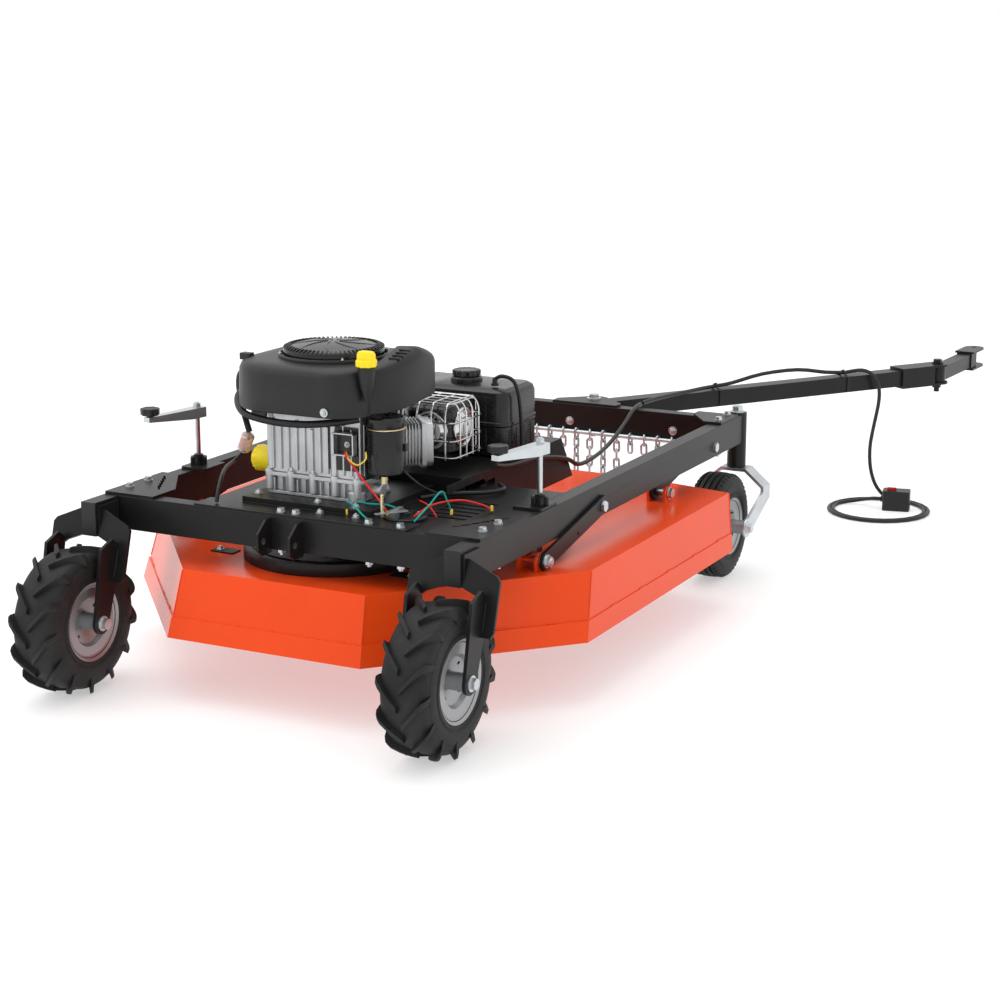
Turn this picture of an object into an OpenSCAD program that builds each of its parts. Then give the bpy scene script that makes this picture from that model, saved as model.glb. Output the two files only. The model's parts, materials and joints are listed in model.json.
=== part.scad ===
/* [Frame] */
// Overall width over the two side rails
frame_w = 950; // [940:1:960]
// Width of the rectangular tube used for rails and cross tubes
tube_w = 38; // [36:1:40]
// Height of the rectangular tube
tube_h = 76; // [74:1:78]
// Wall of the rectangular tube
tube_wall = 3; // [2.5:0.5:4]
// Height of the top of the frame above the ground
frame_top = 414; // [410:1:418]
// Front face of the rear cross tube, measured from the rear end of the rails
rear_cross_y = 120; // [115:1:125]
// Rear face of the front cross tube
front_cross_y = 1517; // [1510:1:1520]
// Position of the caster pivots along the machine
caster_y = 1597; // [1590:1:1600]

/* [Wheels] */
// Outer radius of the rear tyre
rear_r = 165; // [160:1:168]
// Half width of the rear tyre
rear_half = 57; // [52:1:58]
// Position of the rear axles, behind the rail ends
axle_y = -70; // [-74:1:-66]
// Outer radius of the caster tyre
caster_r = 140; // [136:1:142]
// Half width of the caster tyre
caster_half = 46; // [42:1:48]
// Distance that the caster wheel trails behind its pivot
trail = 136; // [130:1:138]

/* [Deck] */
// Height of the underside edge of the deck at the highest cut
deck_low = 137; // [135:1:140]
// Height of the top of the deck at the highest cut
deck_high = 283; // [280:1:285]
// Half width of the deck top
deck_half = 571; // [568:1:573]
// Sheet thickness of the deck
deck_t = 5; // [4:0.5:6]
// Position of the blade spindle along the machine
spindle_y = 680; // [675:1:685]
// Radius swept by the blade tips
blade_r = 545; // [530:1:550]

/* [Lift] */
// Length of each suspension link along the machine
link_run = 292; // [288:1:296]
// Drop of each suspension link from its upper to its lower pivot
link_drop = 60; // [58:1:62]
// Position of the upper pivot of the rear links
rear_link_y = 668; // [664:1:672]
// Position of the upper pivot of the front links
front_link_y = 1385; // [1380:1:1390]
// Distance of the lift screws from the centreline
screw_x = 450; // [449:1:451]
// Position of the lift screws along the machine
screw_y = 411; // [409:1:413]
// Length of the crank arms from screw to knob
crank_len = 150; // [140:1:155]

/* [Tongue] */
// Angle of the tongue to the right of straight ahead
tongue_angle = 34.5; // [30:0.5:38]
// Length of the tongue between its two pivots
tongue_len = 1205; // [1180:5:1220]
// Length of the hitch arm from its pivot to the pin hole
hitch_len = 350; // [330:5:360]
// Radius of the hitch pin hole
hitch_hole_r = 8; // [6.5:0.5:9]

/* [Engine] */
// Position of the crankshaft along the machine
engine_y = 300; // [298:1:302]
// Height of the plate that the engine stands on
plate_top = 430; // [428:1:432]
// Radius of the rotating screen on the engine
screen_r = 112; // [108:1:115]

/* [Hidden] */
$fn = 48;
eps = 0.01;
side = [-1, 1];
rail_x = frame_w / 2 - tube_w / 2;
rail_in = frame_w / 2 - tube_w;
frame_low = frame_top - tube_h;
barrel_r = 25;
barrel_low = 272;
plate_t = 6;
gusset_top = frame_top + plate_t;
bolt_r = 5;
bolt_hole_r = 5.2;
// Frame bolts that run down through the tubes, as x and y
tube_bolts = [[450, 142], [450, 212], [456, 1458], [450, 1538], [277, 101], [200, 101], [19, 101]];
// The engine plate ends short of the left rail, so it has no bolts there
function bolted(b, s) = s > 0 || b[0] > 320 || b[0] < 100;
link_z = frame_top - 50;
link_t = 8;
link_w = 40;
rear_arm_x = 70;
pin_r = 8;
pin_clear = 0.2;
screw_r = 6;
ear_in = 427;
ear_out = 464;
ear_t = 6;
lift_rest_y = rear_link_y - link_run;
front_rest_y = front_link_y - link_run;
low_pin_z = link_z - link_drop;
orange = "orangered";
black = "#26262a";
zinc = "#c3c8cc";
tongue_root = [40, 1585];
tongue_dir = [sin(tongue_angle), cos(tongue_angle)];
tongue_top = 412;
tongue_w = 50;
tongue_h = 46;
hitch_pivot = tongue_root + tongue_len * tongue_dir;
hitch_angle = 3;
hitch_end_r = 30;
hitch_tip = hitch_pivot + hitch_len * [sin(hitch_angle), cos(hitch_angle)];
cable_r = 5.5;
coil_centre = [625, 2345];
coil_r = 141.3;
// The model stands on the ground with its origin at the centre of its footprint
band_t = 3;
deck_flare = 16;
foot_left = -(deck_half + deck_flare + band_t);
foot_right = hitch_tip[0] + hitch_end_r;
foot_rear = axle_y - rear_r;
foot_front = hitch_tip[1] + hitch_end_r;
reference = [(foot_left + foot_right) / 2, (foot_rear + foot_front) / 2, 0];

module placed() {
    translate(-reference) children();
}

// ---- shared shapes ----
module both_sides() {
    for (s = side) scale_side(s) children();
}

module scale_side(s) {
    if (s > 0) children();
    else mirror([1, 0, 0]) children();
}

module round_rect(w, h, r) {
    square([w - 2 * r, h], center = true);
    square([w, h - 2 * r], center = true);
    for (sx = side, sy = side) translate([sx * (w / 2 - r), sy * (h / 2 - r)]) circle(r);
}

module block(x0, x1, y0, y1, z0, z1) {
    translate([x0, y0, z0]) cube([x1 - x0, y1 - y0, z1 - z0]);
}

module soft_block(x0, x1, y0, y1, z0, z1, r) {
    translate([(x0 + x1) / 2, (y0 + y1) / 2, z0])
        linear_extrude(z1 - z0) round_rect(x1 - x0, y1 - y0, r);
}

module rod_z(x, y, z0, z1, r) {
    translate([x, y, z0]) cylinder(h = z1 - z0, r = r);
}

module rod_x(x0, x1, y, z, r) {
    translate([x0, y, z]) rotate([0, 90, 0]) cylinder(h = x1 - x0, r = r);
}

module rod_y(x, y0, y1, z, r) {
    translate([x, y0, z]) rotate([-90, 0, 0]) cylinder(h = y1 - y0, r = r);
}

module hex(h, r) {
    cylinder(h = h, r = r, $fn = 6);
}

// A plate of constant x between two x values, drawn as an outline in y and z
module plate_x(x0, x1, outline) {
    translate([x0, 0, 0]) rotate([90, 0, 90]) linear_extrude(x1 - x0) polygon(outline);
}

// A bolt that stands on z = 0: flanged hexagon head above, shank down through length, nut below
module flange_bolt(length, r) {
    cylinder(h = 2.5, r = 2 * r);
    translate([0, 0, 2.5]) hex(0.9 * 2 * r - 2, 1.75 * r);
    translate([0, 0, -length - 2 * r - 4]) cylinder(h = length + 2 * r + 4 + eps, r = r);
    translate([0, 0, -length - 1.8 * r]) hex(1.8 * r, 1.75 * r);
}

// ---- smooth routes for hoses and cables ----
function norm_v(v) = v / norm(v);
function bend(a, b, c, d, t) = 0.5 * (2 * b + (c - a) * t + (2 * a - 5 * b + 4 * c - d) * t * t
    + (3 * b - a - 3 * c + d) * t * t * t);
function smooth(p, n) = let (last = len(p) - 1) [
    for (i = [0 : last - 1], k = [0 : n - 1])
        bend(p[max(i - 1, 0)], p[i], p[i + 1], p[min(i + 2, last)], k / n),
    p[last]];
function tangent(p, i) = norm_v(p[min(i + 1, len(p) - 1)] - p[max(i - 1, 0)]);
function side_of(u, t) = norm_v(u - (u * t) * t);
function sides(p) = [for (i = 0, u = side_of([0.3, 0.2, 1], tangent(p, 0)); i < len(p);
    i = i + 1, u = i < len(p) ? side_of(u, tangent(p, i)) : u) u];

// A round tube that follows a list of points
module swept(p, r, n = 8) {
    u = sides(p);
    rings = [for (i = [0 : len(p) - 1], k = [0 : n - 1])
        let (t = tangent(p, i), v = cross(t, u[i]))
        p[i] + r * (cos(360 * k / n) * u[i] + sin(360 * k / n) * v)];
    last = (len(p) - 1) * n;
    polyhedron(rings, concat(
        [[for (k = [0 : n - 1]) k]],
        [[for (k = [n - 1 : -1 : 0]) last + k]],
        [for (i = [0 : len(p) - 2], k = [0 : n - 1])
            [i * n + k, (i + 1) * n + k, (i + 1) * n + (k + 1) % n, i * n + (k + 1) % n]]));
}

// ---- frame ----
module tube_drillings() {
    for (b = tube_bolts, s = side) if (bolted(b, s))
            rod_z(s * b[0], b[1], frame_low - 30, gusset_top + 20, bolt_hole_r);
    both_sides() {
        rod_z(screw_x, screw_y, frame_low - 1, gusset_top + 30, screw_r + 2);
        for (y = [rear_link_y, front_link_y]) rod_x(rail_in - 40, frame_w / 2 + 40, y, link_z, pin_r + pin_clear);
        rod_z(rail_x, caster_y, 0, 500, barrel_r);
    }
}

module side_rails() {
    color(black) difference() {
        both_sides() block(rail_in, frame_w / 2, 0, caster_y, frame_low, frame_top);
        both_sides() block(rail_in + tube_wall, frame_w / 2 - tube_wall, -1, caster_y + 1,
            frame_low + tube_wall, frame_top - tube_wall);
        tube_drillings();
    }
}

module cross_tube(y0) {
    difference() {
        block(-rail_in, rail_in, y0, y0 + tube_w, frame_low, frame_top);
        block(-rail_in - 1, rail_in + 1, y0 + tube_wall, y0 + tube_w - tube_wall,
            frame_low + tube_wall, frame_top - tube_wall);
    }
}

module cross_tubes() {
    color(black) difference() {
        union() {
            cross_tube(rear_cross_y - tube_w);
            cross_tube(front_cross_y);
        }
        tube_drillings();
        rod_z(tongue_root[0], tongue_root[1], 0, 500, 30);
    }
}

module corner_plate(outline) {
    translate([0, 0, frame_top]) linear_extrude(plate_t) polygon(outline);
}

module tongue_plate(z0) {
    translate([tongue_root[0], 0, z0]) linear_extrude(plate_t) {
        translate([0, tongue_root[1]]) circle(42);
        polygon([[-95, front_cross_y + 4], [95, front_cross_y + 4], [95, front_cross_y + tube_w],
            [35, tongue_root[1] + 23], [-35, tongue_root[1] + 23], [-95, front_cross_y + tube_w]]);
    }
}

module frame_plates() {
    color(black) difference() {
        union() {
            both_sides() {
                corner_plate([[475, 84], [475, 300], [430, 300], [345, 170], [345, 84]]);
                corner_plate([[474, 1432], [474, 1553], [362, 1553], [362, 1518], [425, 1432]]);
                rod_z(rail_x, caster_y, barrel_low, frame_top + 4, barrel_r);
            }
            tongue_plate(frame_top);
            tongue_plate(frame_low - plate_t);
            for (x = [-38, 42]) plate_x(x, x + 6, [[82, 332], [82, 408], [62, 408], [30, 382], [30, 345], [46, 332]]);
        }
        for (b = tube_bolts, s = side) if (bolted(b, s))
            rod_z(s * b[0], b[1], frame_low - 30, gusset_top + 20, bolt_hole_r);
        both_sides() {
            rod_z(rail_x, caster_y, 0, 500, 10.3);
            for (k = [0 : 4]) translate([372 + 12 * k, 150 + 22 * k, 400]) rotate([0, 0, -38]) cube([5, 40, 30]);
        }
        rod_z(tongue_root[0], tongue_root[1], 0, 500, 10.3);
        rod_x(-50, 60, 50, 363, 8);
    }
}

module rail_end_caps() {
    color(black) both_sides() {
        block(rail_in, frame_w / 2, -3, 0, frame_low, frame_top);
        block(rail_in + tube_wall + 0.3, frame_w / 2 - tube_wall - 0.3, -eps, 14,
            frame_low + tube_wall + 0.3, frame_top - tube_wall - 0.3);
    }
}

// One cheek of a rear fork: a leaning hook-shaped gusset and the arm that holds the axle
module fork_cheek() {
    translate([0, 24, 395]) rotate([-16, 0, 0]) translate([0, 0, -395]) rotate([90, 0, 0])
        linear_extrude(8) polygon([[17, 394], [30, 394], [96, 366], [104, 356], [104, 252], [98, 240],
            [74, 240], [74, 308], [62, 318], [17, 336]]);
    plate_x(rear_arm_x, rear_arm_x + 8, [[axle_y - 24, 170], [axle_y + 20, 152], [-12, 252], [2, 326],
        [-20, 344], [-62, 328]]);
    rod_x(rear_arm_x, rear_arm_x + 8, axle_y, rear_r, 25);
}

module rear_forks() {
    color(black) both_sides() translate([rail_x, 0, 0]) difference() {
        union() {
            fork_cheek();
            mirror([1, 0, 0]) fork_cheek();
            for (s = side) translate([s * 21, 0, 0]) block(-4, 4, 4, 74, frame_low + 4, frame_top - 8);
        }
        block(-tube_w / 2, tube_w / 2, -100, 100, frame_low - 20, frame_top + 20);
        rod_x(-100, 100, axle_y, rear_r, pin_r + pin_clear);
    }
}

module engine_plate() {
    color(black) difference() {
        union() {
            block(-235, rail_in, rear_cross_y, 560, frame_top - plate_t, frame_top);
            block(-235, 300, 84, rear_cross_y + 30, frame_top, frame_top + 4);
            block(-150, 175, 148, 436, frame_top, plate_top);
        }
        block(-146, 171, 152, 432, frame_top - 10, plate_top - 4);
        rod_z(0, engine_y, 400, 440, 60);
        for (b = tube_bolts, s = side) if (bolted(b, s)) rod_z(s * b[0], b[1], 300, 500, bolt_hole_r);
        for (k = [0 : 5]) block(260, 360, 230 + 30 * k, 242 + 30 * k, frame_top - 12, frame_top + 4);
    }
}

module frame_bolts() {
    color(zinc) {
        for (b = tube_bolts, s = side) if (bolted(b, s)) {
            over = b[0] < 320 ? 4 : plate_t;
            translate([s * b[0], b[1], frame_top + over]) flange_bolt(tube_h + over, bolt_r);
        }
        both_sides() {
            // rear axle bolts
            rod_x(rail_x - 90, rail_x + 84, axle_y, rear_r, pin_r);
            translate([rail_x + 78, axle_y, rear_r]) rotate([0, 90, 0]) {
                cylinder(h = 3, r = 17);
                translate([0, 0, 3]) hex(10, 13);
            }
            translate([rail_x - 78, axle_y, rear_r]) rotate([0, -90, 0]) {
                cylinder(h = 3, r = 17);
                translate([0, 0, 3]) hex(13, 13);
            }
            // link pivot bolts, rear ones outside the rail and front ones inside it
            rod_x(rail_in - 10, frame_w / 2 + 14, rear_link_y, link_z, pin_r);
            rod_x(rail_in - 14, frame_w / 2 + 8, front_link_y, link_z, pin_r);
            translate([frame_w / 2 + 10, rear_link_y, link_z]) rotate([0, 90, 0]) hex(8, 13);
            translate([frame_w / 2, front_link_y, link_z]) rotate([0, 90, 0]) hex(8, 13);
            translate([rail_in, rear_link_y, link_z]) rotate([0, -90, 0]) hex(8, 13);
            translate([rail_in - 10, front_link_y, link_z]) rotate([0, -90, 0]) hex(8, 13);
        }
        // tongue pivot bolt
        translate([tongue_root[0], tongue_root[1], gusset_top]) {
            cylinder(h = 3, r = 20);
            translate([0, 0, 3]) hex(10, 15);
        }
        rod_z(tongue_root[0], tongue_root[1], frame_low - 22, gusset_top + 1, 10);
        translate([tongue_root[0], tongue_root[1], frame_low - plate_t - 12]) hex(12, 15);
    }
}

module lobed_nut() {
    cylinder(h = 20, r = 15);
    for (k = [0 : 5]) rotate([0, 0, 60 * k]) translate([15, 0, 0]) cylinder(h = 18, r = 6);
    translate([0, 0, 20 - eps]) cylinder(h = 4, r = 11);
}

module crank_mounts() {
    color(black) difference() {
        both_sides() {
            translate([screw_x - 12, screw_y, frame_top]) linear_extrude(plate_t) round_rect(70, 84, 6);
            translate([screw_x, screw_y, gusset_top - eps]) lobed_nut();
        }
        both_sides() rod_z(screw_x, screw_y, 400, 460, screw_r + 0.3);
    }
}

// ---- engine ----
// Plan of the crankcase: flat at the rear, cut off at both front corners where the cylinders stand
module crankcase_plan(g) {
    polygon([[-118 - g, -90], [-112 - g, -96 - g], [112 + g, -96 - g], [118 + g, -90], [118 + g, 30],
        [60, 105 + g], [-60, 105 + g], [-118 - g, 30]]);
}

module crankcase() {
    color("silver") difference() {
        union() {
            soft_block(-122, 122, 200, 400, plate_top, plate_top + 8, 20);
            soft_block(-112, 112, 208, 396, plate_top + 8, plate_top + 40, 30);
            translate([0, engine_y, plate_top + 40 - eps]) linear_extrude(8) crankcase_plan(8);
            translate([0, engine_y, plate_top + 40]) linear_extrude(582 - plate_top) crankcase_plan(0);
            for (k = [-4 : 4]) block(24 * k - 3, 24 * k + 3, 200, 206, plate_top + 56, 608);
            for (k = [-3 : 3]) block(24 * k - 2, 24 * k + 2, 202, 209, plate_top + 8, plate_top + 40);
        }
        rod_z(0, engine_y, 400, 640, 19);
    }
}

head_angle = 52;

module cylinder_head(s) {
    translate([0, engine_y, 0]) rotate([0, 0, -s * head_angle]) {
        for (k = [0 : 6]) block(-46, 46, 124 + 9 * k, 129 + 9 * k, 482, 580);
        block(-36, 36, 113, 190, 488, 574);
        block(-50, 50, 186, 212, 478, 584);
    }
}

module cylinder_heads() {
    color("#8c8f92") for (s = side) cylinder_head(s);
}

module blower_housing() {
    color(black) difference() {
        union() {
            soft_block(-200, 150, 122, 470, 628, 722, 70);
            soft_block(-190, 140, 132, 460, 722 - eps, 732, 60);
            rod_z(0, engine_y, 732 - eps, 740, 122);
            // oil filler neck
            translate([158, 172, 0]) rotate_extrude()
                polygon([[0, 660], [12, 660], [19, 708], [19, 738], [0, 738]]);
        }
        soft_block(-196, 146, 126, 466, 620, 716, 66);
        soft_block(-186, 136, 136, 456, 711, 728, 56);
        rod_z(0, engine_y, 720, 760, screen_r + 4);
    }
}

module air_cleaner() {
    color(black) {
        soft_block(150.5, 202, 200, 405, 632, 742, 20);
        soft_block(156, 196, 208, 397, 742 - eps, 760, 16);
    }
}

module oil_filter() {
    color("gold") {
        rod_x(-205, -140, 300, 482, 30);
        rod_x(-212, -205 + eps, 300, 482, 25);
        rod_x(-140 - eps, -126.5, 300, 482, 18);
    }
}

module starter_motor() {
    color(black) {
        translate([161, 246, 0]) rotate_extrude() polygon([[0, 494], [41, 494], [41, 592], [38, 592], [38, 597],
            [41, 597], [41, 620], [0, 620]]);
        block(118.5, 150, 232, 260, 480, 505);
    }
}

module carburettor() {
    color("#3a3c40") {
        soft_block(-32, 32, 405.5, 462, 500, 566, 6);
        rod_z(0, 446, 566 - eps, 590, 20);
        // fuel pump on its bracket at the left of the crankcase
        soft_block(-205, -160, 268, 318, 572, 618, 8);
        block(-168, -118.5, 288, 296, 520, 617);
    }
}

module muffler() {
    color(black) {
        soft_block(60, 184, 492, 615, 488, 588, 22);
        soft_block(70, 174, 502, 605, 588 - eps, 596, 18);
        rod_y(90, 470, 492.1, 520, 15);
        // lugs that carry the guard
        rod_x(47, 60.5, 553.5, 542, 4);
        rod_x(183.5, 197, 553.5, 542, 4);
    }
}

module wire_box(x0, x1, y0, y1, z0, z1, r) {
    for (z = [z0, (z0 + z1) / 2, z1]) {
        for (x = [x0, x1]) rod_y(x, y0 - 2 * r, y1 + 2 * r, z, r);
        for (y = [y0, y1]) rod_x(x0 - 2 * r, x1 + 2 * r, y, z, 0.85 * r);
    }
    for (x = [x0, (x0 + x1) / 2, x1], y = [y0, y1]) rod_z(x, y, z0 - 2 * r, z1 + 2 * r, 1.15 * r);
    for (x = [x0, x1]) rod_z(x, (y0 + y1) / 2, z0 - 2 * r, z1 + 2 * r, 1.15 * r);
}

module muffler_guard() {
    color(zinc) wire_box(44, 200, 480, 627, 480, 604, 2.2);
}

stand_t = 3;
stand_top = 450;
tank = [-55, 240, 654, 832];

module fuel_tank() {
    color(black) difference() {
        union() {
            soft_block(tank[0], tank[1], tank[2], tank[3], stand_top + 2, 606, 28);
            soft_block(tank[0] + 10, tank[1] - 10, tank[2] + 10, tank[3] - 10, 606 - eps, 616, 20);
            rod_z(100, 730, 616 - eps, 626, 34);
        }
        block(tank[1] - 5, tank[1] + 5, 736, 750, 470, 600);
    }
}

// Sheet-metal stand: an open-bottomed box with a sloping front and a longer right panel
module tank_stand() {
    color(black) {
        plate_x(247, 250, [[356, stand_top], [939, stand_top], [1004, 344], [585, 344], [585, 424], [540, 424],
            [528, 432], [356, 432]]);
        plate_x(-203, -200, [[440, stand_top], [939, stand_top], [1004, 344], [585, 344], [585, 416], [440, 416]]);
        block(-200, 247, 440, 939, stand_top - stand_t, stand_top);
        plate_x(-200, 247, [[939, stand_top], [1004, 344], [1000.5, 344], [937.3, stand_top - stand_t]]);
        block(-200, 247, 585, 588, 344, stand_top - stand_t);
        block(-200, 247, 588, 900, 344, 347);
        for (y = [440, 520]) block(-200, 247, y, y + 30, frame_top, frame_top + 3);
        for (y = [440, 547]) block(-200, 247, y, y + 3, frame_top, stand_top - stand_t);
    }
}

module engine_hoses() {
    color("#1c1c1e") {
        // breather hose under the housing
        swept(smooth([[-222, 268, 640], [-217, 236, 630], [-200, 200, 618], [-142, 162, 610], [-60, 150, 606],
            [20, 154, 607], [104, 180, 616]], 4), 8);
        // fuel line from the tank top to the stand
        swept(smooth([[196, 690, 632], [214, 690, 640], [240, 694, 632], [252, 700, 600], [255, 708, 540],
            [256, 712, 470]], 4), 4.5);
        rod_z(196, 690, 616.2, 634, 9);
        // fuel filter
        translate([-246, 296, 490]) rotate([0, 22, 0]) cylinder(h = 52, r = 15);
        swept(smooth([[-226, 296, 543], [-228, 296, 570], [-224, 294, 604]], 3), 5);
        swept(smooth([[-247, 295, 487], [-252, 268, 474], [-230, 204, 474], [-204, 150, 467], [-191, 118, 446],
            [-189, 105, 421]], 4), 4.5);
    }
}

module regulator() {
    color("silver") {
        block(66, 118, 188, 199.6, 537, 587);
        for (k = [0 : 6]) block(67 + 8 * k, 70 + 8 * k, 178, 188 + eps, 539, 585);
    }
}

cable_frame = [[258, 572, 456], [260, 640, 442], [262, 800, 430], [262, 940, 400], [262, 1010, 372],
    [252, 1120, 366], [232, 1260, 372], [212, 1400, 396], [200, 1480, 416], [192, 1530, 421], [188, 1566, 421]];

module wiring_loom() {
    color("#303236") {
        swept(smooth(cable_frame, 4), cable_r);
        swept(smooth([[196, 330, 424], [240, 400, 424], [300, 440, 424], [320, 490, 424], [290, 530, 424]], 4), 5);
    }
}

module battery() {
    color("#17181a") {
        soft_block(-60, 90, 640, 730, 348, 440, 4);
        for (x = [-40, 70]) rod_z(x, 655, 440 - eps, 446, 6);
    }
}

// ---- wheels ----
module tyre(r, half, bead_r, crown) {
    rotate([0, 90, 0]) rotate_extrude($fn = 96) polygon([
        [bead_r, -half + 11.6], [bead_r + 12, -half + 5], [(r + bead_r) / 2, -half], [r - crown, -half + 4],
        [r, -half + crown + 4], [r, half - crown - 4], [r - crown, half - 4], [(r + bead_r) / 2, half],
        [bead_r + 12, half - 5], [bead_r, half - 11.6]]);
}

module rim(rim_r, half, hub_r, hub_half, bore) {
    rotate([0, 90, 0]) difference() {
        rotate_extrude($fn = 96) polygon([
            [bore, -hub_half], [hub_r, -hub_half], [hub_r, -half + 30], [hub_r + 18, -half + 24],
            [rim_r - 26, -half + 20], [rim_r - 20, -half + 10], [rim_r, -half + 9], [rim_r + 12, -half + 2],
            [rim_r + 12, -half + 4], [rim_r - 0.3, -half + 11], [rim_r - 0.3, half - 11],
            [rim_r + 12, half - 4], [rim_r + 12, half - 2], [rim_r, half - 9], [rim_r - 20, half - 10],
            [rim_r - 26, half - 20], [hub_r + 18, half - 24], [hub_r, half - 30], [hub_r, hub_half],
            [bore, hub_half]]);
        for (k = [0 : 3]) rotate([0, 0, 45 + 90 * k]) translate([hub_r + 22, 0, -half]) cylinder(h = 2 * half, r = 4);
    }
}

module rear_tyre(s) {
    color(black) translate([s * rail_x, axle_y, rear_r]) tyre(rear_r, rear_half, 76.5, 14);
}

module rear_rim(s) {
    color("silver") translate([s * rail_x, axle_y, rear_r]) rim(76, rear_half, 19, 68.5, pin_r + pin_clear);
}

wheel_y = caster_y - trail;
yoke_in = 80;

module caster_fork(s) {
    color(zinc) translate([s * rail_x, 0, 0]) difference() {
        union() {
            // stem, washers and top nut
            rod_z(0, caster_y, 258, frame_top + 22, 10);
            rod_z(0, caster_y, 270 - eps, barrel_low - 0.5, 17);
            rod_z(0, caster_y, frame_top + 4.5, frame_top + 7, 20);
            translate([0, caster_y, frame_top + 7 - eps]) hex(13, 15);
            // bent strap
            translate([0, caster_y + 25, 0]) rotate([90, 0, 0]) linear_extrude(50) polygon([
                [-36, 270], [36, 270], [yoke_in + 8, 226], [yoke_in + 8, 205], [yoke_in, 205], [yoke_in, 222],
                [33, 262], [-33, 262], [-yoke_in, 222], [-yoke_in, 205], [-yoke_in - 8, 205], [-yoke_in - 8, 226]]);
            for (m = side) translate([m > 0 ? yoke_in : -yoke_in - 8, 0, 0]) {
                plate_x(0, 8, [[caster_y + 25, 212], [caster_y - 25, 212], [wheel_y - 22, 152],
                    [wheel_y + 12, 118], [caster_y + 25, 190]]);
                rod_x(0, 8, wheel_y, caster_r, 25);
            }
            // axle bolt
            rod_x(-yoke_in - 24, yoke_in + 20, wheel_y, caster_r, 8);
            translate([yoke_in + 8 - eps, wheel_y, caster_r]) rotate([0, 90, 0]) {
                cylinder(h = 3, r = 16);
                translate([0, 0, 3 - eps]) hex(9, 12);
            }
            translate([-yoke_in - 8 + eps, wheel_y, caster_r]) rotate([0, -90, 0]) {
                cylinder(h = 3, r = 16);
                translate([0, 0, 3 - eps]) hex(11, 12);
            }
        }
    }
}

module caster_tyre(s) {
    color(black) translate([s * rail_x, wheel_y, caster_r]) tyre(caster_r, caster_half, 63.5, 16);
}

module caster_rim(s) {
    color("silver") translate([s * rail_x, wheel_y, caster_r]) rim(63, caster_half, 18, yoke_in - 1.5, 8.2);
}

// ---- deck ----
// Plan outline of the deck, grown by g on the sides, by a on the rear and by f on the front
function half_plan(g, a, f) = [[231 + 0.7 * g, 30 - a], [deck_half + g, 422 - 1.2 * a], [deck_half + g, 1245 - 0.3 * a],
    [300, 1304 + f], [0, 1308 + f]];
function whole_plan(g, a, f) = let (h = half_plan(g, a, f)) concat(h, [for (i = [3 : -1 : 0]) [-h[i][0], h[i][1]]]);

// Closed solid of the flared deck between two heights, drawn in by t from the outer faces
module flared(z0, z1, t) {
    k0 = (deck_high - z0) / (deck_high - deck_low);
    k1 = (deck_high - z1) / (deck_high - deck_low);
    low = whole_plan(deck_flare * k0 - t, 45 * k0 - t, 12 * k0 - t);
    high = whole_plan(deck_flare * k1 - t, 45 * k1 - t, 12 * k1 - t);
    n = len(low);
    polyhedron(concat([for (p = low) [p[0], p[1], z0]], [for (p = high) [p[0], p[1], z1]]), concat(
        [[for (i = [0 : n - 1]) i]],
        [[for (i = [n - 1 : -1 : 0]) n + i]],
        [for (i = [0 : n - 1]) [i, n + i, n + (i + 1) % n]],
        [for (i = [0 : n - 1]) [i, n + (i + 1) % n, (i + 1) % n]]));
}

band_h = 45;

module deck_shell() {
    color(orange) {
        difference() {
            flared(deck_low, deck_high, 0);
            flared(deck_low - 1, deck_high - deck_t, deck_t);
            translate([0, spindle_y, 0]) cylinder(h = 400, r = 46);
            block(-330, 330, 1200, 1400, deck_low - 5, 205);
        }
        difference() {
            flared(deck_low, deck_low + band_h, -band_t);
            flared(deck_low - 1, deck_low + band_h + 1, 1.5);
            block(-330, 330, 1200, 1400, deck_low - 5, 205);
        }
    }
}

// A pair of ears on the deck top for one link pin
module ear_pair(y) {
    for (x = [ear_in - ear_t, ear_out - eps]) plate_x(x, x + ear_t, [[y - 22, deck_high], [y + 52, deck_high],
        [y + 52, deck_high + 24], [y + 16, deck_high + 38], [y - 12, deck_high + 38], [y - 22, deck_high + 28]]);
}

module deck_brackets() {
    color(orange) both_sides() difference() {
        union() {
            ear_pair(lift_rest_y);
            ear_pair(front_rest_y);
            // bridge that the lift screw hangs from
            block(ear_in - 1, ear_out + 1, lift_rest_y - 12, lift_rest_y + 50, deck_high + 19, deck_high + 25);
        }
        for (y = [lift_rest_y, front_rest_y]) rod_x(380, 520, y, low_pin_z, pin_r + pin_clear);
        rod_z(screw_x, screw_y, 280, 320, screw_r + 2);
        rod_z(screw_x, screw_y - 30, 280, 320, screw_r + 2);
        block(screw_x - screw_r - 2, screw_x + screw_r + 2, screw_y - 30, screw_y, 280, 320);
    }
}

module spindle_housing() {
    color("#5a5c60") difference() {
        union() {
            translate([0, spindle_y, 220]) cylinder(h = 66, r = 45);
            translate([0, spindle_y, deck_high - deck_t - 6]) cylinder(h = 6, r = 80);
        }
        translate([0, spindle_y, 200]) cylinder(h = 100, r = 12.8);
    }
}

pulley_z = 289;
pulley_h = 18;
drive_r = 62;
driven_r = 88;
groove = 9;

module pulley(r) {
    rotate_extrude($fn = 96) polygon([[12.5, 0], [r, 0], [r, 2], [r - groove, 4], [r - groove, pulley_h - 4],
        [r, pulley_h - 2], [r, pulley_h], [12.5, pulley_h]]);
}

module belt_plan(a, b) {
    d = spindle_y - engine_y;
    tilt = asin((b - a) / d);
    circle(a, $fn = 96);
    translate([0, d]) circle(b, $fn = 96);
    flat = 0.998;
    polygon([[flat * a * cos(tilt), -a * sin(tilt)], [flat * b * cos(tilt), d - b * sin(tilt)],
        [-flat * b * cos(tilt), d - b * sin(tilt)], [-flat * a * cos(tilt), -a * sin(tilt)]]);
}

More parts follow.
